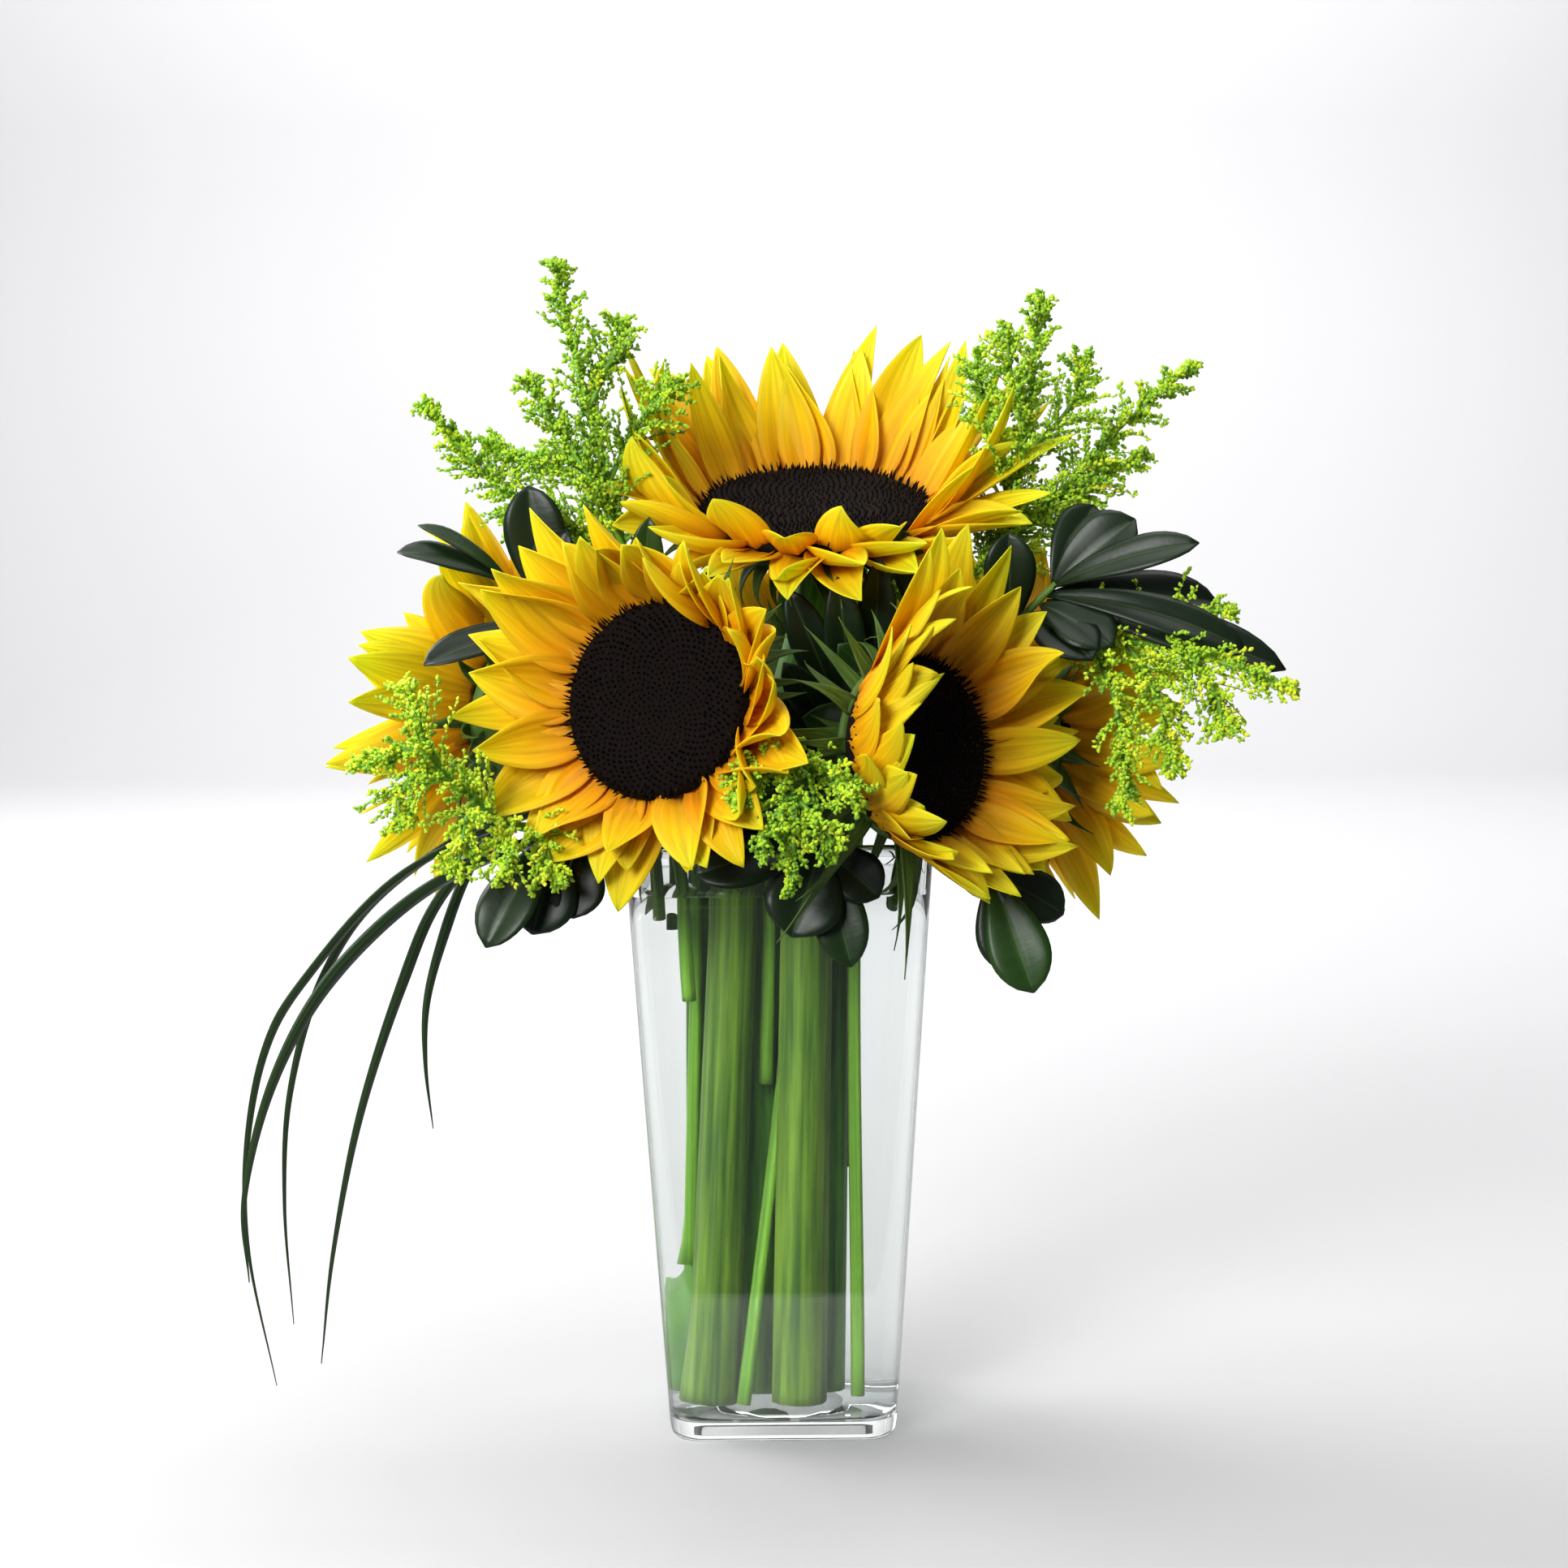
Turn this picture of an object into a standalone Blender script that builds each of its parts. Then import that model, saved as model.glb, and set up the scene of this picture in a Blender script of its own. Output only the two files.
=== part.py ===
"""Sunflowers in a vase: six cut sunflowers, goldenrod, leafy sprigs and lily grass in a square glass vase.

Origin at the centre of the vase's underside, +Z up, -Y is the front. Figures are in millimetres, and MM
turns them into metres. Every flower is four pieces: its stem, the green cup of bracts on the stem, the
ring of petals lying in the cup, and the seed disc that holds the ring down.
"""

import math

import bpy
from mathutils import Matrix, Vector

MM = 0.001
GAP = 0.3  # between pieces that rest on each other

# The vase: square, wider at the mouth, with a thick floor.
VASE_HEIGHT = 203.0
BASE_HALF = 38.2
MOUTH_HALF = 51.0
WALL = 3.6
FLOOR = 11.0
CORNER = 11.0
WATER_LEVEL = 186.0
STEM_FOOT = FLOOR + GAP
UPRIGHT = Vector((0, 0, 3))  # the first piece of a stem on the floor, which is cut off level

# The pieces of a flower head, measured along its axis from the plane of the disc's rim.
PETAL_BED = -4.0
PETAL_THICK = 0.9
NECK = -21.0
NECK_RADIUS = 6.5
PETALS = 14
DISC_STEPS = 20


def clear_scene():
    for thing in list(bpy.data.objects):
        bpy.data.objects.remove(thing, do_unlink=True)
    for group in list(bpy.data.collections):
        bpy.data.collections.remove(group)


def new_collection(name, hidden=False):
    group = bpy.data.collections.new(name)
    bpy.context.scene.collection.children.link(group)
    group.hide_render = hidden
    return group


def material(name, colour, roughness, transmission=0.0):
    made = bpy.data.materials.new(name)
    made.use_nodes = True
    shader = made.node_tree.nodes["Principled BSDF"]
    shader.inputs["Base Color"].default_value = (*colour, 1.0)
    shader.inputs["Roughness"].default_value = roughness
    shader.inputs["Transmission Weight"].default_value = transmission
    return made


clear_scene()
BOUQUET = new_collection("sunflowers_in_a_vase")
CUTTERS = new_collection("cutters", hidden=True)

GLASS = material("clear_glass", (0.9, 0.95, 0.93), 0.02, 1.0)
WATER = material("clear_water", (0.92, 0.97, 0.95), 0.0, 1.0)
STEM = material("stem_green", (0.12, 0.28, 0.03), 0.6)
BRACT = material("bract_green", (0.10, 0.22, 0.03), 0.65)
DISC = material("disc_brown", (0.02, 0.009, 0.005), 0.9)
PETAL = material("petal_yellow", (0.95, 0.55, 0.02), 0.55)
BUDS = material("goldenrod_green", (0.45, 0.52, 0.04), 0.7)
LEAF = material("leaf_green", (0.015, 0.045, 0.015), 0.3)
GRASS = material("grass_green", (0.02, 0.06, 0.02), 0.4)


def mesh_object(name, points, faces, look, group=BOUQUET):
    mesh = bpy.data.meshes.new(name)
    mesh.from_pydata([Vector(p) * MM for p in points], [], faces)
    mesh.validate()
    mesh.materials.append(look)
    made = bpy.data.objects.new(name, mesh)
    group.objects.link(made)
    return made


def solidify(thing, thickness, offset=0.0):
    thick = thing.modifiers.new("thickness", "SOLIDIFY")
    thick.thickness = thickness * MM
    thick.offset = offset
    thick.use_even_offset = False


def tube(name, path, radii, look, group=BOUQUET, sides=2):
    """A round stem along a path, its radius given at every point: a poly curve made into a mesh."""
    curve = bpy.data.curves.new(name, "CURVE")
    curve.dimensions = "3D"
    curve.bevel_depth = MM
    curve.bevel_resolution = sides
    curve.use_fill_caps = True
    spline = curve.splines.new("POLY")
    spline.points.add(len(path) - 1)
    for point, place, radius in zip(spline.points, path, radii):
        point.co = (*(Vector(place) * MM), 1.0)
        point.radius = radius
    guide = bpy.data.objects.new(name + "_guide", curve)
    group.objects.link(guide)
    graph = bpy.context.evaluated_depsgraph_get()
    mesh = bpy.data.meshes.new_from_object(guide.evaluated_get(graph))
    bpy.data.objects.remove(guide, do_unlink=True)
    mesh.materials.clear()
    mesh.materials.append(look)
    made = bpy.data.objects.new(name, mesh)
    group.objects.link(made)
    weld = made.modifiers.new("weld", "WELD")
    weld.merge_threshold = 0.00001
    return made


def smooth_path(marks, steps=3):
    """Points on a smooth curve through the marks, with so many steps between two marks."""
    marks = [Vector(m) for m in marks]
    ends = [2 * marks[0] - marks[1], *marks, 2 * marks[-1] - marks[-2]]
    path = []
    for a, b, c, d in zip(ends, ends[1:], ends[2:], ends[3:]):
        for i in range(steps):
            t = i / steps
            path.append(
                0.5
                * (
                    2 * b
                    + (c - a) * t
                    + (2 * a - 5 * b + 4 * c - d) * t**2
                    + (3 * b - a - 3 * c + d) * t**3
                )
            )
    return [*path, marks[-1]]


def tapered(first, last, count):
    return [first + (last - first) * i / (count - 1) for i in range(count)]


def union(base, others):
    """Joins the others to the base, and keeps them among the cutters."""
    parts = bpy.data.collections.new(base.name + "_parts")
    CUTTERS.children.link(parts)
    for other in others:
        parts.objects.link(other)
        CUTTERS.objects.unlink(other)
        other.hide_render = True
        other.display_type = "WIRE"
    join = base.modifiers.new("join", "BOOLEAN")
    join.operation = "UNION"
    join.operand_type = "COLLECTION"
    join.collection = parts
    join.solver = "EXACT"


# --- The vase and its water ---------------------------------------------------------------------


def rounded_square(half, corner, z, corner_steps=3):
    points = []
    for quarter in range(4):
        start = quarter * math.pi / 2
        cx = (half - corner) * (1 if quarter in (0, 3) else -1)
        cy = (half - corner) * (1 if quarter in (0, 1) else -1)
        for i in range(corner_steps + 1):
            angle = start + i / corner_steps * math.pi / 2
            points.append((cx + corner * math.cos(angle), cy + corner * math.sin(angle), z))
    return points


def lofted(name, rings, look, group=BOUQUET):
    """A closed skin over the rings, one after the other, with its two ends filled."""
    n = len(rings[0])
    points = [p for ring in rings for p in ring]
    faces = [list(range(n))[::-1], [(len(rings) - 1) * n + i for i in range(n)]]
    for r in range(len(rings) - 1):
        for i in range(n):
            j = (i + 1) % n
            faces.append([r * n + i, r * n + j, (r + 1) * n + j, (r + 1) * n + i])
    return mesh_object(name, points, faces, look, group)


def outer_half(z):
    return BASE_HALF + (MOUTH_HALF - BASE_HALF) * z / VASE_HEIGHT


def inner_half(z):
    return outer_half(z) - WALL


lofted(
    "vase",
    [
        rounded_square(outer_half(0) - 2.5, CORNER - 2.5, 0),
        rounded_square(outer_half(0) - 0.7, CORNER - 0.7, 0.8),
        rounded_square(outer_half(2.8), CORNER, 2.8),
        rounded_square(MOUTH_HALF, CORNER, VASE_HEIGHT - 1.4),
        rounded_square(MOUTH_HALF - 1.2, CORNER - 1.2, VASE_HEIGHT),
        rounded_square(MOUTH_HALF - WALL + 1.0, CORNER - WALL + 1.0, VASE_HEIGHT),
        rounded_square(MOUTH_HALF - WALL, CORNER - WALL, VASE_HEIGHT - 1.4),
        rounded_square(inner_half(FLOOR + 2), CORNER - WALL, FLOOR + 2),
        rounded_square(inner_half(FLOOR) - 1.4, CORNER - WALL - 1, FLOOR),
    ],
    GLASS,
)


# --- Stems inside the vase ----------------------------------------------------------------------

WATER_CUTS = []


def stem_in_water(name, path, radii, sides=2):
    """The room that a stem takes up in the water, a little wider than the stem."""
    low = [0, 0, -3] if path[0].z < FLOOR + 1 else [0, 0, -2]
    cut = tube(
        name + "_in_water",
        [path[0] + Vector(low), *path],
        [radii[0] + GAP + 0.05, *(r + GAP + 0.05 for r in radii)],
        WATER,
        CUTTERS,
        sides,
    )
    WATER_CUTS.append(cut)


# --- The sunflowers -----------------------------------------------------------------------------


def axes(normal):
    """Right, up and outward of a flower head that looks along the normal."""
    out = Vector(normal).normalized()
    guide = Vector((0, 0, 1)) if abs(out.z) < 0.8 else Vector((0, 1, 0))
    right = guide.cross(out).normalized()
    return right, out.cross(right), out


def seed_disc(name, centre, normal, radius):
    """A low dome with a sunken middle and a flat back: its half outline, turned about the head's axis."""
    back = PETAL_BED + PETAL_THICK / 2 + GAP
    outline = [
        (0.0, 1.6),
        (0.35, 2.2),
        (0.72, 4.2),
        (0.93, 3.4),
        (1.0, 0.0),
        (0.96, back),
        (0.0, back),
    ]
    mesh = bpy.data.meshes.new(name)
    points = [Vector((r * radius, 0, h)) * MM for r, h in outline]
    mesh.from_pydata(points, [(i, i + 1) for i in range(len(points) - 1)], [])
    mesh.materials.append(DISC)
    made = bpy.data.objects.new(name, mesh)
    BOUQUET.objects.link(made)
    turned = Matrix(axes(normal)).transposed().to_4x4()
    made.location = Vector(centre) * MM
    made.rotation_euler = turned.to_euler()
    screw = made.modifiers.new("turn", "SCREW")
    screw.steps = DISC_STEPS
    screw.render_steps = DISC_STEPS
    screw.use_merge_vertices = True
    screw.merge_threshold = 0.00001
    return made


def along_petal(distance, length, cup):
    """How far out and how high a petal is at a distance from its foot.

    It bends up by the cup angle over its first third and then runs on straight.
    """
    out = height = 0.0
    steps = 6
    for i in range(steps):
        d = distance * (i + 0.5) / steps
        angle = cup * min(1.0, 0.35 + d / (0.3 * length))
        out += math.cos(angle) * distance / steps
        height += math.sin(angle) * distance / steps
    return out, height


def petal_ring(name, centre, normal, radius, petals, reach, cup):
    """One thin ring cut into pointed petals.

    reach and cup take a direction round the head and give the petal's length and its bend there.
    """
    right, up, out = axes(normal)
    columns = petals * 4
    points, faces = [], []
    for k in range(columns):
        part = k % 4
        middle = (k - part + 2) * 2 * math.pi / columns
        plain = k * 2 * math.pi / columns
        if part == 2:
            shares, narrow = (0.55, 1.0), (1.0, 1.0)
        elif part == 0:
            shares, narrow = (0.22, 0.28), (1.0, 1.0)
        else:
            shares, narrow = (0.5, 0.8), (1.0, 0.5)
        toward = middle if part else plain
        length, bend = reach(toward), cup(toward)
        for r, h, a in [
            (0.74 * radius, 0.0, plain),
            (radius + 1.0, 0.0, plain),
            *(
                (
                    radius + 1.0 + along_petal(share * length, length, bend)[0],
                    along_petal(share * length, length, bend)[1],
                    middle + (plain - middle) * tight if part else plain,
                )
                for share, tight in zip(shares, narrow)
            ),
        ]:
            points.append(
                Vector(centre)
                + (right * math.cos(a) + up * math.sin(a)) * r
                + out * (PETAL_BED + h)
            )
    for k in range(columns):
        j = (k + 1) % columns
        for i in range(3):
            faces.append([k * 4 + i, k * 4 + i + 1, j * 4 + i + 1, j * 4 + i])
    made = mesh_object(name, points, faces, PETAL)
    solidify(made, PETAL_THICK)
    return made


def bract_cup(name, centre, normal, radius, curl):
    """The green cup behind the petals, with a ring of pointed bracts that curl back."""
    right, up, out = axes(normal)
    top = PETAL_BED - PETAL_THICK / 2 - GAP
    bracts = 12
    columns = bracts * 2
    points, faces = [], []
    for k in range(columns):
        a = 2 * math.pi * k / columns
        tip = k % 2 == 0
        reach = (13.0 if k % 4 else 10.0) if tip else 2.0
        rows = [
            (radius * 0.5, top),
            (radius, top),
            (radius + reach, top - (curl * reach if tip else 0.6)),
            (radius + reach * 0.6, top - (curl * reach * 0.7 + 1.2 if tip else 1.6)),
            (radius * 0.86, top - 7.0),
            (radius * 0.45, top - 12.0),
            (NECK_RADIUS + 0.6, NECK),
        ]
        for r, h in rows:
            points.append(
                Vector(centre) + (right * math.cos(a) + up * math.sin(a)) * r + out * h
            )
    n = 7
    for k in range(columns):
        j = (k + 1) % columns
        for i in range(n - 1):
            faces.append([k * n + i, k * n + i + 1, j * n + i + 1, j * n + i])
    faces.append([k * n for k in range(columns)])
    faces.append([k * n + n - 1 for k in reversed(range(columns))])
    return mesh_object(name, points, faces, BRACT)


def toward(angle_degrees, sharp=1.0):
    """A weight that is 1 in the direction given and falls to 0 on the far side of the head."""
    a0 = math.radians(angle_degrees)
    return lambda a: max(0.0, math.cos(a - a0)) ** sharp


def sunflower(name, centre, normal, radius, petals, reach, cup, foot, mouth, width, curl=0.5):
    """A whole flower. Its stem stands on the vase's floor at the foot and leaves the vase at the mouth."""
    centre = Vector(centre)
    _, _, out = axes(normal)
    neck = centre + out * (NECK - GAP)
    under = neck - out * 3
    foot, mouth = Vector((*foot, STEM_FOOT)), Vector((*mouth, VASE_HEIGHT))
    lift = (mouth - foot).normalized()
    span = (neck - mouth).length
    bend = [
        (1 - t) ** 3 * mouth
        + 3 * (1 - t) ** 2 * t * (mouth + lift * span * 0.45)
        + 3 * (1 - t) * t**2 * (under - out * span * 0.4)
        + t**3 * under
        for t in (0.28, 0.55, 0.8)
    ]
    path = [foot, foot + UPRIGHT, foot.lerp(mouth, 0.5), mouth, *bend, under, neck]
    radii = [width, width, width * 0.97, width * 0.92, width * 0.86, NECK_RADIUS + 1]
    radii += [NECK_RADIUS] * 3
    tube(name + "_stem", path, radii, STEM)
    stem_in_water(name, path[:4], radii[:4])
    seed_disc(name + "_disc", centre, normal, radius)
    petal_ring(name + "_petals", centre, normal, radius, petals, reach, cup)
    bract_cup(name + "_bracts", centre, normal, radius, curl)


near, left_side, right_side, above, below = (
    toward(270, 0.7),
    toward(180, 1.0),
    toward(0, 1.0),
    toward(90, 1.0),
    toward(270, 1.5),
)

sunflower(
    "sunflower_top",
    (13, 12, 313),
    (0.0, -0.34, 0.94),
    40,
    PETALS,
    lambda a: 56 - 26 * near(a),
    lambda a: math.radians(50 - 42 * near(a)),
    (-8, -3.5),
    (-3, -3),
    7.8,
)
sunflower(
    "sunflower_front_left",
    (-38, -70, 252),
    (-0.42, -0.88, 0.2),
    32,
    PETALS,
    lambda a: 43 - 13 * right_side(a) - 9 * toward(70, 2)(a) - 13 * toward(225, 3)(a),
    lambda a: math.radians(20 + 42 * right_side(a) + 44 * toward(75, 1.5)(a)),
    (-24, -21),
    (-14, -22),
    8.6,
)
sunflower(
    "sunflower_front_right",
    (45, -63, 235),
    (0.65, -0.72, 0.1),
    30,
    PETALS,
    lambda a: 43 - 10 * left_side(a) - 6 * below(a),
    lambda a: math.radians(24 + 62 * toward(170)(a)),
    (5.2, -21.8),
    (9.5, -24),
    9.2,
    0.15,
)
sunflower(
    "sunflower_left",
    (-92, 38, 247),
    (-0.75, 0.6, 0.25),
    31,
    PETALS,
    lambda a: 41 - 8 * left_side(a),
    lambda a: math.radians(26),
    (-25.2, 0),
    (-24, 2),
    7.8,
)
sunflower(
    "sunflower_right",
    (86, 38, 237),
    (0.8, 0.55, 0.1),
    31,
    PETALS,
    lambda a: 42,
    lambda a: math.radians(26),
    (13, -2),
    (17, 0),
    7.8,
)
sunflower(
    "sunflower_back",
    (6, 84, 247),
    (0.0, 0.9, 0.35),
    31,
    PETALS,
    lambda a: 38 - 6 * left_side(a),
    lambda a: math.radians(26),
    (-6, 17),
    (-4, 22),
    7.8,
)


# --- Goldenrod ----------------------------------------------------------------------------------


def goldenrod(name, stem, branches, foot_radius=2.6):
    """A spray: a stem that runs up out of the water, and side branches, all one piece."""
    path = smooth_path(stem, 2)
    if stem[0][2] == STEM_FOOT:
        path.insert(1, path[0] + UPRIGHT)
    radii = tapered(foot_radius, 0.9, len(path))
    base = tube(name, path, radii, BUDS, sides=1)
    if stem[0][2] < WATER_LEVEL:
        stem_in_water(name, path, radii, sides=1)
    others = []
    for i, marks in enumerate(branches):
        others.append(
            tube(f"{name}_branch_{i}", marks, tapered(1.5, 0.8, len(marks)), BUDS, CUTTERS, sides=0)
        )
    union(base, others)


goldenrod(
    "goldenrod_top_left",
    [
        (-31, -9.5, 57), (-27.5, -14, 203), (-36, -14, 240), (-47, -3, 276), (-56, 3, 318),
        (-65, 0, 352), (-74, 0, 398),
    ],
    [
        [(-49, -2, 288), (-70, 2, 308), (-96, 2, 322), (-119, -2, 349)],
        [(-52, 0, 300), (-62, -6, 322), (-84, -6, 356)],
        [(-57, 3, 322), (-48, 4, 340), (-33, 3, 357)],
        [(-64, 0, 346), (-56, 0, 362), (-52, 0, 376)],
        [(-51, 0, 294), (-68, 7, 304), (-92, 9, 311)],
        [(-56, 3, 316), (-72, 8, 330), (-100, 12, 334)],
    ],
    2.8,
)
goldenrod(
    "goldenrod_top_right",
    [
        (-13.4, -27.8, STEM_FOOT), (0.2, -12.3, 118), (8, -9.5, 203), (26, -12, 240),
        (58, -4, 277), (80, 5, 312), (86, 3, 345), (90, 0, 384),
    ],
    [
        [(66, 0, 289), (92, 6, 312), (116, 4, 338), (140, -4, 360)],
        [(80, 5, 312), (74, 10, 340), (68, 10, 366)],
        [(84, 4, 330), (100, 8, 346), (106, 8, 364)],
        [(74, 2, 302), (102, 12, 316), (126, 10, 331)],
        [(85, 4, 340), (80, -2, 356), (78, -4, 372)],
    ],
    2.8,
)
goldenrod(
    "goldenrod_right",
    [
        (25.2, -14, STEM_FOOT), (26.5, -16, 203), (47, -15, 229), (80, -6, 256),
        (108, -18, 268), (142, -38, 262), (170, -45, 252),
    ],
    [
        [(104, -16, 267), (110, -34, 252), (113, -46, 228), (112, -50, 213)],
        [(116, -23, 267), (124, -40, 252), (129, -50, 226)],
        [(132, -32, 264), (142, -46, 252), (144, -50, 238)],
        [(124, -28, 266), (134, -22, 276), (150, -24, 278)],
    ],
    2.4,
)
goldenrod(
    "goldenrod_lower_left",
    [
        (-30, -27, 150), (-35, -33, 203), (-56, -46, 212), (-84, -57, 211), (-103, -76, 228),
        (-114, -84, 238), (-132, -80, 232),
    ],
    [
        [(-96, -69, 222), (-98, -82, 213), (-100, -88, 199)],
        [(-88, -60, 213), (-86, -76, 208), (-84, -88, 200)],
        [(-80, -55.5, 211), (-74, -70, 206), (-70, -82, 196)],
        [(-108, -80, 233), (-116, -88, 226), (-118, -86, 214)],
        [(-105, -78, 230), (-112, -80, 246), (-116, -76, 258)],
    ],
    2.0,
)
goldenrod(
    "goldenrod_centre",
    [
        (-5, -14.5, 120), (-2, -16, 203), (1, -34, 216), (6, -64, 230), (7, -84, 232),
        (5, -94, 216), (4, -96, 194),
    ],
    [
        [(6, -76, 233), (-6, -90, 232), (-13, -96, 222)],
        [(6, -90, 226), (-2, -97, 216), (-6, -98, 206)],
        [(7, -84, 232), (20, -96, 228), (26, -100, 222)],
        [(6, -92, 222), (14, -98, 214), (18, -98, 206)],
    ],
    2.0,
)
goldenrod(
    "goldenrod_back",
    [(6, 14, 120), (8, 20, 203), (22, 40, 250), (36, 56, 290), (44, 66, 320), (46, 72, 346)],
    [
        [(30, 48, 272), (50, 62, 286), (62, 76, 292)],
        [(36, 56, 290), (30, 72, 306), (26, 84, 316)],
        [(42, 63, 312), (56, 72, 326), (66, 80, 332)],
    ],
    2.2,
)


# --- Leafy sprigs -------------------------------------------------------------------------------

LEAF_OUTLINE = [(0.0, 0.12), (0.28, 0.6), (0.65, 1.0), (0.88, 0.66), (1.0, 0.1)]


def leaf(name, foot, tip, width, arch=0.08, face=(0, 0, 1)):
    """A leathery leaf, widest beyond its middle and folded a little along its midrib."""
    foot, tip = Vector(foot), Vector(tip)
    length = (tip - foot).length
    ahead = (tip - foot).normalized()
    side = ahead.cross(Vector(face)).normalized()
    lift = side.cross(ahead)
    points, faces = [], []
    for t, w in LEAF_OUTLINE:
        middle = foot.lerp(tip, t) + lift * arch * length * 4 * t * (1 - t)
        half = w * width / 2
        raised = middle + lift * half * 0.2
        points += [raised - side * half, middle, raised + side * half]
    for i in range(len(LEAF_OUTLINE) - 1):
        a = i * 3
        faces += [[a, a + 1, a + 4, a + 3], [a + 1, a + 2, a + 5, a + 4]]
    made = mesh_object(name, points, faces, LEAF, CUTTERS)
    solidify(made, 0.8)
    return made


def sprig(name, stem, leaves, foot_radius=1.9):
    """A twig that reaches into the vase, and its leaves, all one piece."""
    path = smooth_path(stem, 2)
    radii = tapered(foot_radius, 1.3, len(path))
    base = tube(name, path, radii, LEAF, sides=1)
    if stem[0][2] < WATER_LEVEL:
        stem_in_water(name, path, radii, sides=1)
    union(base, [leaf(f"{name}_leaf_{i}", *one) for i, one in enumerate(leaves)])


sprig(
    "leaves_right_upper",
    [(24, -7, 90), (27, -6, 203), (51, -9, 246), (78, -16, 272), (93, -20, 287)],
    [
        [(92, -19.6, 286), (118, -24, 307), 17],
        [(92, -19.6, 286), (136, -38, 300), 12],
        [(90, -19, 283), (146, -16, 280), 17],
        [(88, -18, 281), (109, -34, 268), 17],
        [(92, -19.6, 286), (98, -10, 316), 16, 0.05, (0, -1, 0.3)],
        [(78, -16, 272), (76, -24, 302), 16, 0.05, (0, -1, 0.3)],
    ],
)
sprig(
    "leaves_right_lower",
    [(37, -34, 179), (41, -37, 200), (50, -39, 209), (62, -38, 200), (72, -37, 188)],
    [
        [(71, -37, 190), (83, -47, 156), 17, 0.05, (0, -1, 0)],
        [(68, -37, 193), (94, -32, 176), 16, 0.05, (0, -1, 0.5)],
        [(60, -38, 201), (84, -24, 196), 14, 0.05, (0, 0, 1)],
    ],
)
sprig(
    "leaves_centre",
    [(10, -40, 178), (11, -42, 200), (12, -49, 209), (14, -60, 204)],
    [
        [(13, -59, 205), (-26, -68, 196), 18, 0.05, (0, -1, 0.5)],
        [(14, -60, 204), (4, -70, 178), 22, 0.05, (0, -1, 0.2)],
        [(14, -60, 204), (22, -68, 168), 15, 0.05, (0, -1, 0)],
        [(12, -54, 208), (-22, -58, 212), 15, 0.05, (0, -0.4, 1)],
    ],
)
sprig(
    "leaves_left_lower",
    [(-39, -39, 178), (-41, -42, 202), (-48, -48, 209.5), (-63, -57, 206), (-74, -60, 207)],
    [
        [(-73, -59.5, 207), (-92, -74, 176), 16, 0.05, (-0.4, -1, 0)],
        [(-70, -57, 208), (-76, -66, 178), 20, 0.05, (0, -1, 0)],
        [(-63, -57, 206), (-62, -66, 182), 16, 0.05, (0, -1, 0)],
    ],
)
sprig(
    "leaves_left_upper",
    [(-36, -5, 172), (-37, -6, 203), (-51, -7, 244), (-72, -8, 274), (-90, -11, 288)],
    [
        [(-78, -8, 280), (-83, -12, 318), 17, 0.05, (0, -1, 0.3)],
        [(-89, -10, 287), (-120, -14, 305), 10],
        [(-89, -10, 287), (-124, -24, 296), 15],
        [(-72, -6, 274), (-110, -32, 266), 16],
    ],
)
sprig(
    "leaves_back_left",
    [(-22, 24, 120), (-26, 28, 203), (-40, 50, 240), (-56, 66, 264)],
    [
        [(-52, 62, 259), (-53, 82, 300), 15],
        [(-55, 65, 263), (-62, 98, 276), 18],
        [(-46, 56, 250), (-40, 62, 292), 16, 0.05, (0, 1, 0.3)],
    ],
)
sprig(
    "leaves_back_right",
    [(18, 26, 120), (24, 32, 203), (42, 60, 224), (50, 74, 226)],
    [
        [(49, 72, 226), (58, 104, 198), 18],
        [(46, 67, 225), (40, 90, 192), 17, 0.05, (0, 1, 0.2)],
        [(49, 72, 226), (62, 84, 192), 16, 0.05, (0, 1, 0.2)],
    ],
)


# --- Lily grass ---------------------------------------------------------------------------------


def folded_strip(name, path, width, thickness, look, group, side):
    """A long blade folded along its middle, narrow at its foot and pointed at its tip."""
    points, faces = [], []
    last = len(path) - 1
    for i, middle in enumerate(path):
        ahead = (path[min(i + 1, last)] - path[max(i - 1, 0)]).normalized()
        across = Vector(side)
        across = (across - ahead * across.dot(ahead)).normalized()
        crease = across.cross(ahead)
        half = width / 2 * min(1.0, 0.12 + 3.0 * (1 - i / last)) * min(1.0, 0.7 + i / last)
        raised = middle + crease * half * 0.4
        points += [raised - across * half, middle, raised + across * half]
    for i in range(last):
        a = i * 3
        faces += [[a, a + 1, a + 4, a + 3], [a + 1, a + 2, a + 5, a + 4]]
    made = mesh_object(name, points, faces, look, group)
    solidify(made, thickness)
    return made


def blade(name, marks, width, side=(0.8, 0.6, -0.2)):
    """A blade of grass that starts in the water, goes over the rim and hangs down."""
    path = smooth_path(marks, 2)
    folded_strip(name, path, width, 0.6, GRASS, BOUQUET, side)
    foot = [path[0] * 2 - path[1], *path[:5]]
    foot[0] = path[0] + (foot[0] - path[0]).normalized()
    cut = folded_strip(name + "_in_water", [*foot], width * 1.5, 1.6, WATER, CUTTERS, side)
    WATER_CUTS.append(cut)


blade(
    "grass_1",
    [
        (-41.5, -24.5, 178), (-43, -26, 200), (-54, -30, 214), (-82, -38, 212), (-124, -44, 193),
        (-155, -47, 160), (-169, -47, 136), (-176, -47, 102), (-176, -47, 68), (-168, -47, 24),
    ],
    3.4,
)
blade(
    "grass_2",
    [
        (-41.5, -19.5, 178), (-43, -21, 200), (-55, -24, 218), (-84, -34, 216), (-128, -40, 189),
        (-150, -41, 160), (-162, -41, 122), (-165, -41, 84), (-163, -41, 43),
    ],
    3.4,
)
blade(
    "grass_3",
    [
        (-41.5, -14.5, 178), (-43, -16, 200), (-56, -18, 221), (-84, -27, 213), (-111, -33, 186),
        (-125, -35, 156), (-140, -36, 112), (-150, -36, 66), (-155, -36, 28),
    ],
    4.4,
)
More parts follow.
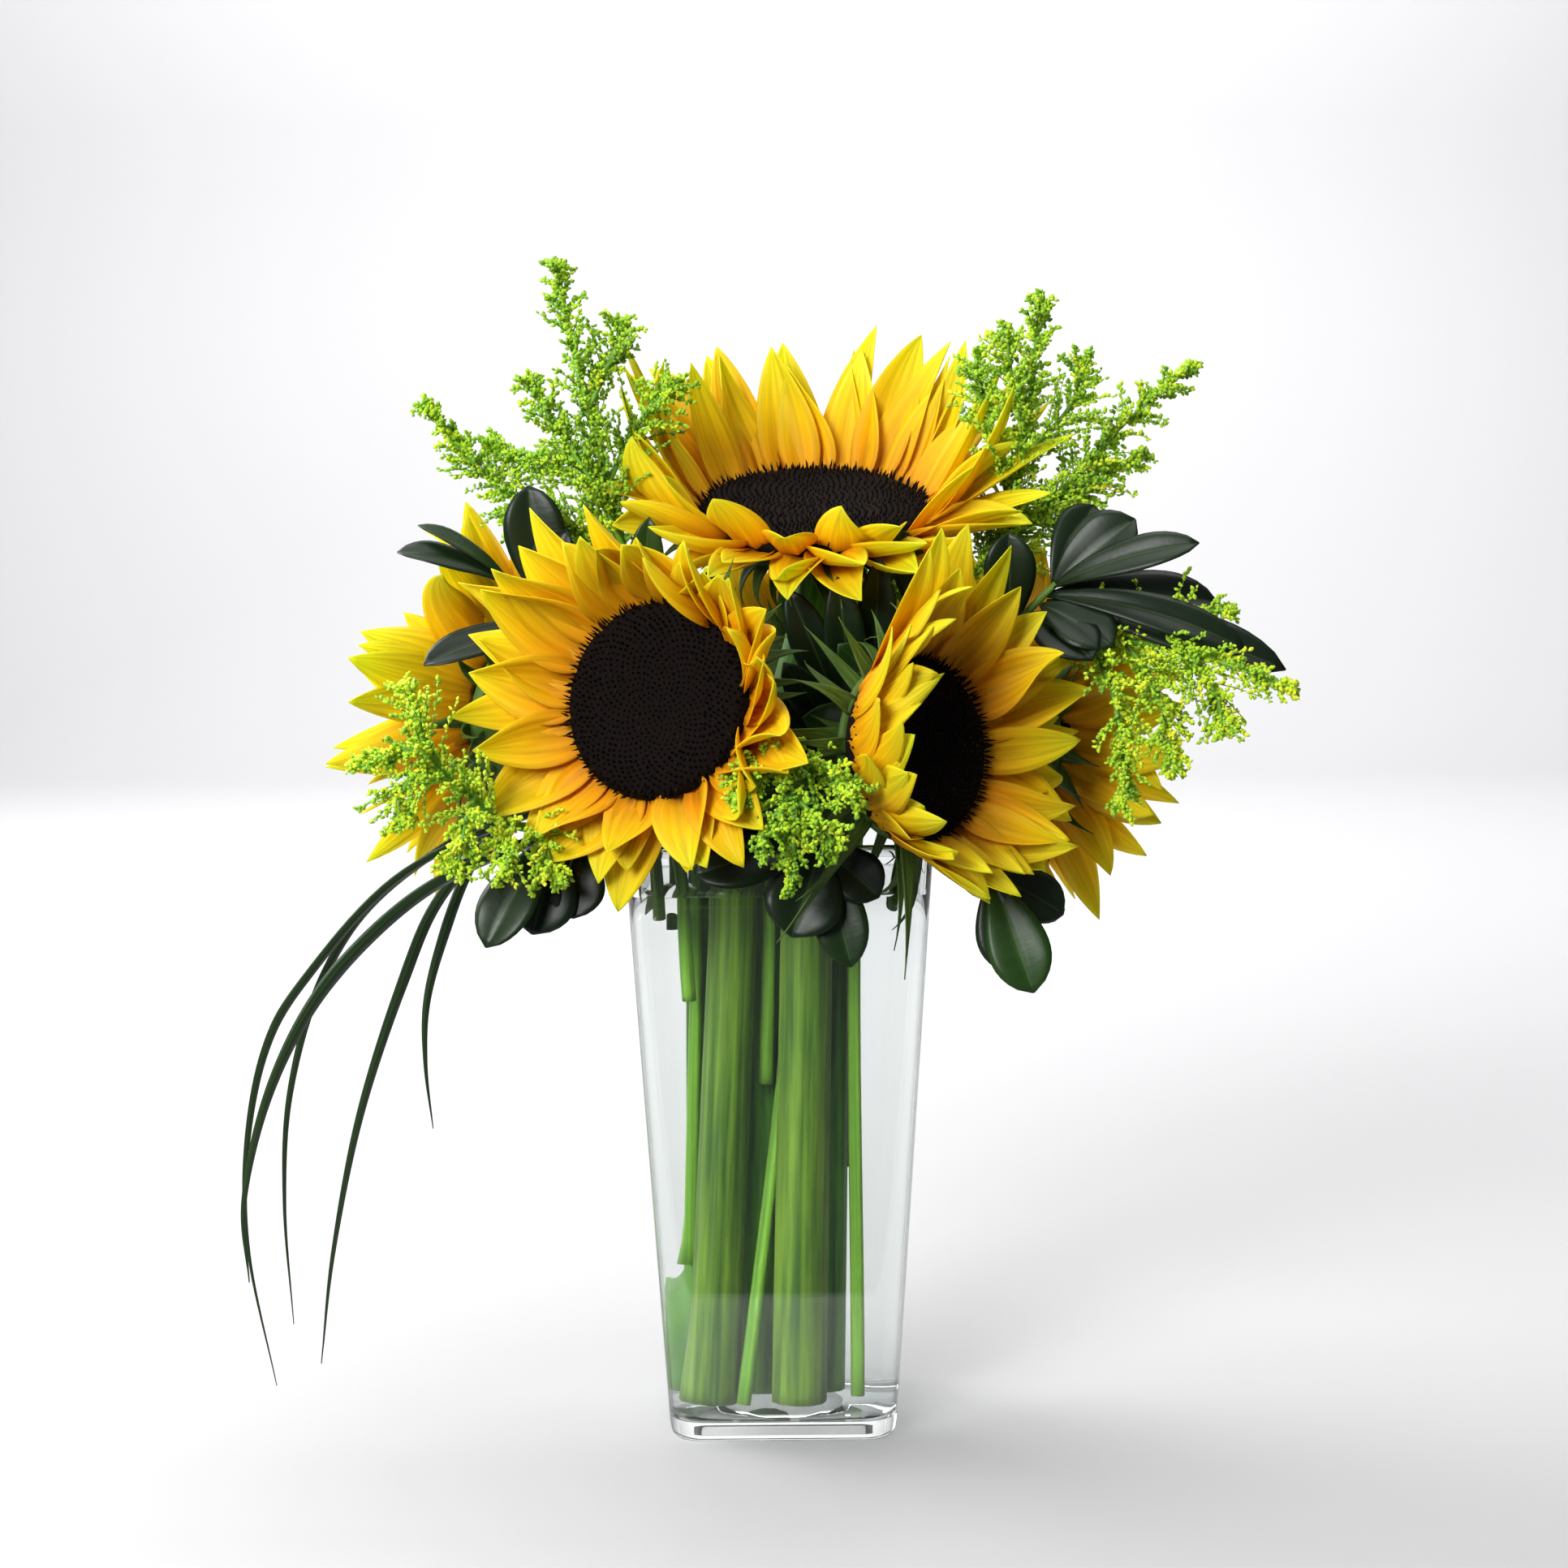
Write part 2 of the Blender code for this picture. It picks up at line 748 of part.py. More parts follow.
blade(
    "grass_4",
    [
        (-41.5, -30.5, 178), (-43, -32, 200), (-53, -36, 210), (-80, -46, 204), (-111, -51, 191),
        (-134, -55, 173), (-153, -57, 150), (-167, -58, 121), (-175, -58, 88), (-174, -58, 62),
    ],
    5.6,
)
blade(
    "grass_5",
    [
        (-41, -9.5, 178), (-43, -11, 200), (-57, -12, 226), (-86, -20, 223), (-103, -23, 194),
        (-112, -26, 171), (-118, -28, 149), (-119, -28, 128), (-117, -28, 106),
    ],
    4.2,
)

# --- Water, cut round the stems -----------------------------------------------------------------

water = lofted(
    "water",
    [
        rounded_square(inner_half(FLOOR) - 1.8, CORNER - WALL - 1, FLOOR + GAP),
        rounded_square(inner_half(FLOOR + 2) - GAP, CORNER - WALL, FLOOR + 2),
        rounded_square(inner_half(WATER_LEVEL) - GAP, CORNER - WALL, WATER_LEVEL),
    ],
    WATER,
)
for cut in WATER_CUTS:
    cut.hide_render = True
    cut.display_type = "WIRE"
    room = water.modifiers.new(cut.name, "BOOLEAN")
    room.operation = "DIFFERENCE"
    room.object = cut
    room.solver = "EXACT"
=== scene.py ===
"""Sunflowers in a vase: the looks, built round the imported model. Metres, +Z up, the front is -Y.

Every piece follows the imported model's own discs, stems and boxes, and is a surface worked out on a grid.
"""

import bpy
import numpy as np
from mathutils import Matrix, Vector


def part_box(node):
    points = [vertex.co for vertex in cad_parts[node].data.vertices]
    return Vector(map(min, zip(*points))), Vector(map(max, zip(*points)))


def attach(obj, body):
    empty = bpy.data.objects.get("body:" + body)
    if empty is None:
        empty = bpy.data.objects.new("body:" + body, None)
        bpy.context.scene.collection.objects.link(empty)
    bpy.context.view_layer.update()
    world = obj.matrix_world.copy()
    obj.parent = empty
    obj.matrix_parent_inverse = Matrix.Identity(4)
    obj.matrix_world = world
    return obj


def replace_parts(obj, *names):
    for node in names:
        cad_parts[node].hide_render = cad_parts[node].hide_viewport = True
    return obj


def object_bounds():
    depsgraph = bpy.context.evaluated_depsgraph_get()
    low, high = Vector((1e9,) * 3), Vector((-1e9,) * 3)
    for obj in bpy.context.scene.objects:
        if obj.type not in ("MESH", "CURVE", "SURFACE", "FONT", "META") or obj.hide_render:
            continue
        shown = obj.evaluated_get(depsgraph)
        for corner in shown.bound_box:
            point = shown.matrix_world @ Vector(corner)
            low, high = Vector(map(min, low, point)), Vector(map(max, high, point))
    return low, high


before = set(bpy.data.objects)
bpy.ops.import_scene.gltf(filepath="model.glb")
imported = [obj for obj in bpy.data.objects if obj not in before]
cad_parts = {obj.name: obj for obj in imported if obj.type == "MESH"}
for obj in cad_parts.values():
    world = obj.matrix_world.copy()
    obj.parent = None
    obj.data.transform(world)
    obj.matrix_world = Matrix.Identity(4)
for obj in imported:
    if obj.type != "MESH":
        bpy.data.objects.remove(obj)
cad_box = np.array([list(corner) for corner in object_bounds()])
scene = bpy.context.scene

# --- The vase -----------------------------------------------------------------------------------
# A square pressed-glass vase that widens to its mouth, with rounded corners and a thick clear floor.
# It is one piece of glass, polished by fire, so its edges are soft. Its inner floor is a low dome.

VASE_LOW, VASE_HIGH = (np.array(corner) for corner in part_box("vase"))
VASE_HEIGHT = VASE_HIGH[2] - VASE_LOW[2]
MOUTH_HALF = (VASE_HIGH[0] - VASE_LOW[0]) / 2
BASE_HALF = MOUTH_HALF * 0.749
GLASS_WALL = 0.0036
GLASS_FLOOR = 0.011  # in the middle
FLOOR_DOME = 0.005  # how much lower the inner floor is at the walls
CORNER_RADIUS = 0.011
# The rounded foot and lip: how far in, and how far up from the foot or down from the mouth.
FOOT_EDGE = ((0.0045, 0.0), (0.0026, 0.0), (0.0013, 0.0004), (0.0005, 0.0013), (0.0, 0.003))
LIP = ((0.0, 0.0018), (0.0005, 0.0006), (0.0013, 0.0), (0.0023, 0.0), (0.0031, 0.0006), (0.0036, 0.0018))
FILLET = ((0.0002, 0.0026), (0.0008, 0.0012), (0.0019, 0.0005))  # from the inner wall to the floor


def grid_piece(name, places, look, around=False, ends=False, uv=True, tint=None, smooth=True):
    """One mesh from an array of grids, shaped (sheets, rows, columns, 3).

    Each sheet is rows by columns of points joined by four-sided faces. With around, the last column joins
    the first; with ends, the first and last rows are filled. The UV map runs 0 to 1 across and along.
    """
    places = np.asarray(places, float)
    if places.ndim == 3:
        places = places[None]
    sheets, rows, columns, _ = places.shape
    index = np.arange(sheets * rows * columns).reshape(sheets, rows, columns)
    across = np.roll(index, -1, axis=2) if around else index[:, :, 1:]
    here = index if around else index[:, :, :-1]
    quads = np.stack([here[:, :-1], across[:, :-1], across[:, 1:], here[:, 1:]], axis=-1)
    faces = quads.reshape(-1, 4).tolist()
    if ends:
        faces += index[:, 0, ::-1].tolist()
        faces += index[:, -1].tolist()
    mesh = bpy.data.meshes.new(name)
    mesh.from_pydata(places.reshape(-1, 3).tolist(), [], faces)
    if uv:
        along = np.linspace(0, 1, rows)[None, :, None] * np.ones((sheets, 1, columns))
        side = np.linspace(0, 1, columns)[None, None, :] * np.ones((sheets, rows, 1))
        flat = np.stack([side.ravel(), along.ravel()], axis=1)
        corners = np.empty(len(mesh.loops), np.int32)
        mesh.loops.foreach_get("vertex_index", corners)
        mesh.uv_layers.new(name="grid").data.foreach_set("uv", flat[corners].ravel())
    if tint is not None:
        shade = np.broadcast_to(np.asarray(tint, float).reshape(-1, 1), (sheets, rows * columns))
        mesh.attributes.new("tint", "FLOAT", "POINT").data.foreach_set("value", shade.ravel())
    mesh.polygons.foreach_set("use_smooth", np.full(len(mesh.polygons), smooth))
    mesh.materials.append(look)
    piece = bpy.data.objects.new(name, mesh)
    scene.collection.objects.link(piece)
    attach(piece, "root")
    return piece


def new_material(name, **sockets):
    """A material with a Principled shader whose plain values are set by name."""
    made = bpy.data.materials.new(name)
    made.use_nodes = True
    shader = made.node_tree.nodes["Principled BSDF"]
    for socket, value in sockets.items():
        shader.inputs[socket.replace("_", " ")].default_value = value
    return made, made.node_tree, shader


def ramp(tree, source, stops):
    """A colour ramp from a value, with stops of place and colour."""
    node = tree.nodes.new("ShaderNodeValToRGB")
    while len(node.color_ramp.elements) < len(stops):
        node.color_ramp.elements.new(0.5)
    for element, (place, colour) in zip(node.color_ramp.elements, stops):
        element.position = place
        element.color = (*colour, 1)
    tree.links.new(source, node.inputs[0])
    return node.outputs[0]


def clear_material(name, ior, colour, painted_edge_shade, lamp_share):
    """Clear glass or water, with painted shade: its colour darkens where it is seen edge on.

    Lamps shine through it by a share, so that what stands in it isn't in its shadow.
    """
    made, tree, shader = new_material(name, Roughness=0.0, IOR=ior, Transmission_Weight=1.0)
    # Painted shade: the Base Color turns towards the dark edge colour as the surface turns edge on.
    slant = tree.nodes.new("ShaderNodeLayerWeight")
    slant.inputs["Blend"].default_value = 0.5
    tree.links.new(
        ramp(tree, slant.outputs["Facing"], [(0.0, colour), (0.35, colour), (0.85, painted_edge_shade)]),
        shader.inputs["Base Color"],
    )
    path = tree.nodes.new("ShaderNodeLightPath")
    share = tree.nodes.new("ShaderNodeMath")
    share.operation = "MULTIPLY"
    share.inputs[1].default_value = lamp_share
    through = tree.nodes.new("ShaderNodeBsdfTransparent")
    mix = tree.nodes.new("ShaderNodeMixShader")
    tree.links.new(path.outputs["Is Shadow Ray"], share.inputs[0])
    tree.links.new(share.outputs[0], mix.inputs[0])
    tree.links.new(shader.outputs[0], mix.inputs[1])
    tree.links.new(through.outputs[0], mix.inputs[2])
    tree.links.new(mix.outputs[0], tree.nodes["Material Output"].inputs["Surface"])
    return made


def rounded_square(half, corner, height, steps=12):
    """Points of a square with round corners, level at a height: a quarter circle at each corner in turn."""
    turn = np.linspace(0, np.pi / 2, steps)
    angle = (np.arange(4)[:, None] * np.pi / 2 + turn[None]).ravel()
    side = np.repeat(np.arange(4), steps)
    x = np.where((side == 0) | (side == 3), 1, -1) * (half - corner) + corner * np.cos(angle)
    y = np.where(side < 2, 1, -1) * (half - corner) + corner * np.sin(angle)
    return np.stack([x, y, np.full(angle.shape, height)], axis=1)


def outer_half(height):
    """Half the vase's outer width at a height: it widens evenly."""
    return BASE_HALF + (MOUTH_HALF - BASE_HALF) * height / VASE_HEIGHT


def floor_rings(spread, drop):
    """Rings of the inner floor, from the wall to the middle, each wider by the spread and lower by the drop.

    A fillet leads to a dome, whose height falls with the square of the share of the way to the wall.
    """
    wall, corner = outer_half(GLASS_FLOOR) - GLASS_WALL, CORNER_RADIUS - GLASS_WALL
    low = GLASS_FLOOR - FLOOR_DOME
    rings = [rounded_square(wall - inset + spread, corner, low + rise - drop) for inset, rise in FILLET]
    return rings + [
        rounded_square(wall * share + spread, corner * share, low + FLOOR_DOME * (1 - share**2) - drop)
        for share in (0.92, 0.8, 0.65, 0.5, 0.35, 0.2, 0.08)
    ]


vase_rings = [rounded_square(outer_half(0) - inset, CORNER_RADIUS - inset, rise) for inset, rise in FOOT_EDGE]
vase_rings += [
    rounded_square(outer_half(height), CORNER_RADIUS, height)
    for height in np.linspace(0.006, VASE_HEIGHT - 0.004, 24)
]
vase_rings += [
    rounded_square(MOUTH_HALF - inset, CORNER_RADIUS - inset, VASE_HEIGHT - drop) for inset, drop in LIP
]
vase_rings += [
    rounded_square(outer_half(height) - GLASS_WALL, CORNER_RADIUS - GLASS_WALL, height)
    for height in np.linspace(VASE_HEIGHT - 0.004, GLASS_FLOOR, 24)
]
vase_rings += floor_rings(0.0, 0.0)
# The second colour, nearly black, is painted shade on the glass where it is seen edge on.
clear_glass = clear_material("clear_glass", 1.5, (0.93, 0.945, 0.94), (0.10, 0.12, 0.12), 0.85)
vase = grid_piece("vase_glass", np.array(vase_rings), clear_glass, around=True, ends=True)
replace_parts(vase, "vase")

# --- The water ----------------------------------------------------------------------------------
# Clear water to a little under the rim, wetting the glass all round. Its shape is that of the inside of
# the vase.

WATER_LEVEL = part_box("water")[1][2]
WET = 0.0001  # how far the water reaches into the glass, so that no air shows between them
water_rings = floor_rings(WET, WET)[::-1]
water_rings += [
    rounded_square(outer_half(height) - GLASS_WALL + WET, CORNER_RADIUS - GLASS_WALL + WET, height)
    for height in np.linspace(GLASS_FLOOR, WATER_LEVEL, 20)
]
# The second colour is painted shade on the water where it is seen edge on.
clear_water = clear_material("clear_water", 1.33, (0.985, 0.995, 0.99), (0.80, 0.83, 0.82), 0.9)
water = grid_piece("water_body", np.array(water_rings), clear_water, around=True, ends=True)
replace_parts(water, "water")

# --- Sunflower stems ----------------------------------------------------------------------------
# Thick, straight, hairy green stems, cut level at the foot and bending over under each flower head.
# Fine furrows run along them, and the colour is paler along the ridges.

FLOWERS = ("top", "front_left", "front_right", "left", "right", "back")
NECK_DROP = 0.017  # from the disc down to the stem's end, inside the green cup
NECK_RADIUS = 0.0068


def streak_group():
    """Light and dark streaks that follow the second UV axis: noise stretched along the piece."""
    group = bpy.data.node_groups.new("streaks", "ShaderNodeTree")
    group.interface.new_socket("Across", in_out="INPUT", socket_type="NodeSocketFloat").default_value = 30
    group.interface.new_socket("Along", in_out="INPUT", socket_type="NodeSocketFloat").default_value = 1.5
    group.interface.new_socket("Shift", in_out="INPUT", socket_type="NodeSocketFloat")
    group.interface.new_socket("Streak", in_out="OUTPUT", socket_type="NodeSocketFloat")
    nodes, links = group.nodes, group.links
    entry, leave = nodes.new("NodeGroupInput"), nodes.new("NodeGroupOutput")
    place = nodes.new("ShaderNodeUVMap")
    place.uv_map = "grid"
    split = nodes.new("ShaderNodeSeparateXYZ")
    join = nodes.new("ShaderNodeCombineXYZ")
    wide, tall = nodes.new("ShaderNodeMath"), nodes.new("ShaderNodeMath")
    wide.operation = tall.operation = "MULTIPLY"
    noise = nodes.new("ShaderNodeTexNoise")
    noise.inputs["Scale"].default_value = 1.0
    noise.inputs["Detail"].default_value = 3.0
    links.new(place.outputs[0], split.inputs[0])
    links.new(split.outputs[0], wide.inputs[0])
    links.new(entry.outputs["Across"], wide.inputs[1])
    links.new(split.outputs[1], tall.inputs[0])
    links.new(entry.outputs["Along"], tall.inputs[1])
    links.new(wide.outputs[0], join.inputs[0])
    links.new(tall.outputs[0], join.inputs[1])
    links.new(entry.outputs["Shift"], join.inputs[2])
    links.new(join.outputs[0], noise.inputs["Vector"])
    links.new(noise.outputs[0], leave.inputs[0])
    return group


STREAKS = streak_group()


def streaks(tree, across, along, shift):
    """The streaks, by how many there are across and along, moved by a value of the piece's own."""
    node = tree.nodes.new("ShaderNodeGroup")
    node.node_tree = STREAKS
    node.inputs["Across"].default_value = across
    node.inputs["Along"].default_value = along
    tree.links.new(shift, node.inputs["Shift"])
    return node.outputs[0]


def blended(tree, kind, share, first, second):
    """Two colours mixed. A share is a number or a value socket."""
    node = tree.nodes.new("ShaderNodeMix")
    node.data_type = "RGBA"
    node.blend_type = kind
    if isinstance(share, float):
        node.inputs["Factor"].default_value = share
    else:
        tree.links.new(share, node.inputs["Factor"])
    for socket, value in ((node.inputs[6], first), (node.inputs[7], second)):
        if isinstance(value, tuple):
            socket.default_value = (*value, 1)
        else:
            tree.links.new(value, socket)
    return node.outputs[2]


def bumped(tree, shader, height, strength, distance):
    """Gives the surface relief from a height."""
    bump = tree.nodes.new("ShaderNodeBump")
    bump.inputs["Strength"].default_value = strength
    bump.inputs["Distance"].default_value = distance
    tree.links.new(height, bump.inputs["Height"])
    tree.links.new(bump.outputs[0], shader.inputs["Normal"])


def tint_of(tree):
    """The value that each sheet or tube carries, to set it apart from its neighbours."""
    node = tree.nodes.new("ShaderNodeAttribute")
    node.attribute_name = "tint"
    return node.outputs["Fac"]


def stem_material(name, dark, light, across):
    """Streaked green, with a painted sheen: the colour turns paler where the surface is seen edge on, for the
    soft bloom of hairs.
    """
    made, tree, shader = new_material(name, Roughness=0.6, Specular_IOR_Level=0.3)
    streak = streaks(tree, across, 5.0, tint_of(tree))
    middle = tuple((a + b) / 2 for a, b in zip(dark, light))
    green = ramp(tree, streak, [(0.36, dark), (0.5, middle), (0.62, light)])
    # Painted sheen: the colour is mixed towards a pale green where the surface is seen edge on.
    edge = tree.nodes.new("ShaderNodeLayerWeight")
    edge.inputs["Blend"].default_value = 0.35
    painted_rim_sheen = blended(tree, "MIX", edge.outputs["Facing"], green, tuple(0.7 * c + 0.035 for c in light))
    tree.links.new(painted_rim_sheen, shader.inputs["Base Color"])
    bumped(tree, shader, streak, 0.5, 0.0006)
    return made


def cad_points(node):
    """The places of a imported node's points."""
    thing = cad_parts[node]
    points = np.empty(len(thing.data.vertices) * 3)
    thing.data.vertices.foreach_get("co", points)
    place = np.array(thing.matrix_world)
    return points.reshape(-1, 3) @ place[:3, :3].T + place[:3, 3]


def unit(v):
    """The same directions, one long."""
    return v / np.linalg.norm(v, axis=-1, keepdims=True)


def spline(marks, count):
    """Points along a smooth curve through the marks: a Catmull-Rom curve, evenly in its parameter."""
    marks = np.asarray(marks, float)
    ends = np.concatenate([2 * marks[:1] - marks[1:2], marks, 2 * marks[-1:] - marks[-2:-1]])
    place = np.linspace(0, len(marks) - 1 - 1e-9, count)
    k = place.astype(int)
    t = (place - k)[:, None]
    a, b, c, d = (ends[k + i] for i in range(4))
    return 0.5 * (2 * b + (c - a) * t + (2 * a - 5 * b + 4 * c - d) * t**2 + (3 * b - a - 3 * c + d) * t**3)


def swept(path, radii, sides, ridges=0, ridge=0.0):
    """A tube: circles of the given radii round each point of the path, square to it, with ridges along it."""
    path = np.asarray(path, float)
    ahead = unit(np.gradient(path, axis=0))
    guide = np.array([1.0, 0.13, 0.07]) if abs(ahead[:, 0]).mean() < 0.8 else np.array([0.0, 1.0, 0.1])
    side = unit(np.cross(ahead, guide))
    other = np.cross(ahead, side)
    turn = np.linspace(0, 2 * np.pi, sides, endpoint=False)
    size = np.asarray(radii)[:, None] * (1 + ridge * np.cos(ridges * turn))[None]
    return path[:, None] + size[..., None] * (
        np.cos(turn)[None, :, None] * side[:, None] + np.sin(turn)[None, :, None] * other[:, None]
    )


def flower_head(flower):
    """A flower's frame, from its packed disc: its middle, two directions across it, its axis and its radius.

    The axis is the direction in which the disc is thinnest, and points away from the green cup.
    """
    disc = np.unique(np.round(cad_points(f"sunflower_{flower}_disc"), 6), axis=0)
    cup = cad_points(f"sunflower_{flower}_bracts")
    middle = disc.mean(axis=0)
    out = np.linalg.svd(disc - middle, full_matrices=False)[2][2]
    out = out if out @ (middle - cup.mean(axis=0)) > 0 else -out
    reach = np.linalg.norm(np.cross(disc - middle, out), axis=1)
    rim = disc[reach > reach.max() * 0.985]
    guide = np.array([0.0, 0.0, 1.0]) if abs(out[2]) < 0.8 else np.array([0.0, 1.0, 0.0])
    right = unit(np.cross(guide, out))
    return rim.mean(axis=0), right, np.cross(out, right), out, reach.max()


def stem_tube(flower):
    """A stem: straight from its foot to the vase's mouth, then a cubic Bezier curve up to the flower's neck.

    The curve starts along the straight part and ends along the flower's axis.
    """
    centre, _, _, out, _ = heads[flower]
    stem = cad_points(f"sunflower_{flower}_stem")
    foot_ring = stem[stem[:, 2] < stem[:, 2].min() + 0.0008]
    foot = foot_ring.mean(axis=0)
    mouth = stem[abs(stem[:, 2] - VASE_HEIGHT) < 0.002].mean(axis=0)
    wide = np.linalg.norm(foot_ring - foot, axis=1).max()
    neck = centre - out * NECK_DROP
    lift = unit(mouth - foot)
    span = np.linalg.norm(neck - mouth)
    t = np.linspace(0, 1, 30)[:, None]
    bend = (
        (1 - t) ** 3 * mouth
        + 3 * (1 - t) ** 2 * t * (mouth + lift * span * 0.45)
        + 3 * (1 - t) * t**2 * (neck - out * span * 0.4)
        + t**3 * neck
    )
    straight = foot + np.linspace(0, 1, 40)[:-1, None] * (mouth - foot)
    sizes = [np.linspace(wide, wide * 0.92, 39), np.linspace(wide * 0.92, NECK_RADIUS, 30)]
    return swept(np.concatenate([straight, bend]), np.concatenate(sizes), 40, ridges=11, ridge=0.025)


heads = {flower: flower_head(flower) for flower in FLOWERS}
stem_looks = {
    "front_left": stem_material("stem_green_a", (0.018, 0.068, 0.001), (0.105, 0.205, 0.008), 20),
    "front_right": stem_material("stem_green_b", (0.022, 0.082, 0.001), (0.135, 0.25, 0.014), 18),
}
plain_stem = stem_material("stem_green_c", (0.016, 0.080, 0.001), (0.08, 0.25, 0.008), 12)
for number, flower in enumerate(FLOWERS):
    stem = grid_piece(
        f"{flower}_stem", stem_tube(flower), stem_looks.get(flower, plain_stem),
        around=True, ends=True, tint=[number * 3.7],
    )
    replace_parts(stem, f"sunflower_{flower}_stem")

# --- Petals -------------------------------------------------------------------------------------
# Each flower has three rings of long thin ray petals under the rim of its disc. A petal is a soft sheet,
# grooved along its length, that cups forward, narrows to a twisted point and turns from orange to lemon.

MM = 0.001
PETAL_THICKNESS = 0.0003
PETAL_ROOT = 0.004  # how far a petal starts inside the disc's rim


def toward(angles, degrees, sharp=1.0):
    """1 in the direction given, falling to 0 on the far side."""
    return np.clip(np.cos(angles - np.radians(degrees)), 0, 1) ** sharp


def level(angles):
    """Nothing in any direction."""
    return 0 * angles


def even_cup(angles):
    """The same cup all round."""
    return 24 + 0 * angles


# For each flower, worked out from the direction round the head: how far the petals reach, how far they cup
# forward, and how far their tips sway round; then their width, and how pale they are.
PETAL_FORM = {
    "top": (
        lambda a: 62 - 31 * toward(a, 270, 0.8),
        lambda a: 50 - 42 * toward(a, 270, 0.8),
        level,
        18.0,
        0.6,
    ),
    "front_left": (
        lambda a: 46 - 14 * toward(a, 350) - 9 * toward(a, 70, 2) - 13 * toward(a, 245, 2),
        lambda a: 20 + 17 * toward(a, 0) + 44 * toward(a, 80, 1.5),
        lambda a: 0.2 * toward(a, 30, 2),
        19.5,
        0.3,
    ),
    "front_right": (
        lambda a: 43 - 9 * toward(a, 180) - 11 * toward(a, 255, 2),
        lambda a: 24 + 60 * toward(a, 170) + 30 * toward(a, 255, 2),
        lambda a: -0.42 * toward(a, 180) + 0.42 * toward(a, 280, 2),
        17.0,
        0.42,
    ),
    "left": (lambda a: 44 - 8 * toward(a, 180) + 9 * toward(a, 315, 2), even_cup, level, 16.5, 0.6),
    "right": (lambda a: 45 - 6 * toward(a, 0), even_cup, level, 16.5, 0.45),
    "back": (lambda a: 36.8 - 5 * toward(a, 180), even_cup, level, 16.5, 0.5),
}
# For each ring of petals: their count, their share of the reach, and how much more they cup forward.
TOP_RINGS = ((22, 1.0, -7), (20, 0.96, 0), (15, 0.8, 38))
OTHER_RINGS = ((19, 1.0, -7), (18, 0.95, 0), (12, 0.82, 14))


def ray_sheets(
    head, angles, start, lift, length, width, cup, curl, twist, sway, fold, shape, rows=16, columns=7
):
    """Leaf-like sheets round a flower head, one for each angle.

    A sheet starts at a distance from the head's axis and runs outward. Its slope rises to the cup angle over
    the first third and then turns by the curl. Its width is the length share raised to one power times the
    rest raised to another; its edges lift by the fold, and its cross line turns by the twist.
    """
    centre, right, up, out, _ = head

    def each(value):
        return np.broadcast_to(np.asarray(value, float), angles.shape)[:, None]

    def summed(steps):
        return np.concatenate([np.zeros((len(angles), 1)), np.cumsum(steps, axis=1)], axis=1)

    t = np.linspace(0, 1, rows)[None]
    slope = each(cup) * np.clip(0.3 + t / 0.35, 0, 1) + each(curl) * t**2
    step = each(length) / (rows - 1)
    far = each(start) + summed(np.cos(slope[:, 1:]) * step)
    high = each(lift) + summed(np.sin(slope[:, 1:]) * step)
    grow, fade = shape
    body = (t + 0.06) ** grow * (1.0 - t) ** fade
    body = body / body.max() * (1 - 0.02 * t) + 0.012
    half = (each(width) / 2 * body)[..., None, None]
    spoke = np.cos(angles)[:, None] * right + np.sin(angles)[:, None] * up
    side = -np.sin(angles)[:, None] * right + np.cos(angles)[:, None] * up
    normal = -np.sin(slope)[..., None] * spoke[:, None] + np.cos(slope)[..., None] * out
    roll = (each(twist) * t**1.5)[..., None]
    cross = np.cos(roll) * side[:, None] + np.sin(roll) * normal
    rise = -np.sin(roll) * side[:, None] + np.cos(roll) * normal
    aside = (each(sway) * t**2 * each(length))[..., None] * side[:, None]
    spine = centre + far[..., None] * spoke[:, None] + high[..., None] * out + aside
    s = np.linspace(-1, 1, columns)[None, None, :, None]
    groove = 0.05 * np.cos(3 * np.pi * s) * (1 - 0.4 * t)[..., None, None]
    height = half * (each(fold)[..., None, None] * (s**2 - 0.3) + groove)
    return spine[:, :, None] + half * s * cross[:, :, None] + height * rise[:, :, None]


def grid_axes(tree):
    """How far across and how far along a sheet or tube a place is."""
    place = tree.nodes.new("ShaderNodeUVMap")
    place.uv_map = "grid"
    split = tree.nodes.new("ShaderNodeSeparateXYZ")
    tree.links.new(place.outputs[0], split.inputs[0])
    return split.outputs[0], split.outputs[1]


def lit_through(made, colour, share):
    """The same material, letting a share of the light through in its own colour."""
    tree = made.node_tree
    glow = tree.nodes.new("ShaderNodeBsdfTranslucent")
    mix = tree.nodes.new("ShaderNodeMixShader")
    mix.inputs[0].default_value = share
    tree.links.new(colour, glow.inputs["Color"])
    tree.links.new(tree.nodes["Principled BSDF"].outputs[0], mix.inputs[1])
    tree.links.new(glow.outputs[0], mix.inputs[2])
    tree.links.new(mix.outputs[0], tree.nodes["Material Output"].inputs["Surface"])
    return made


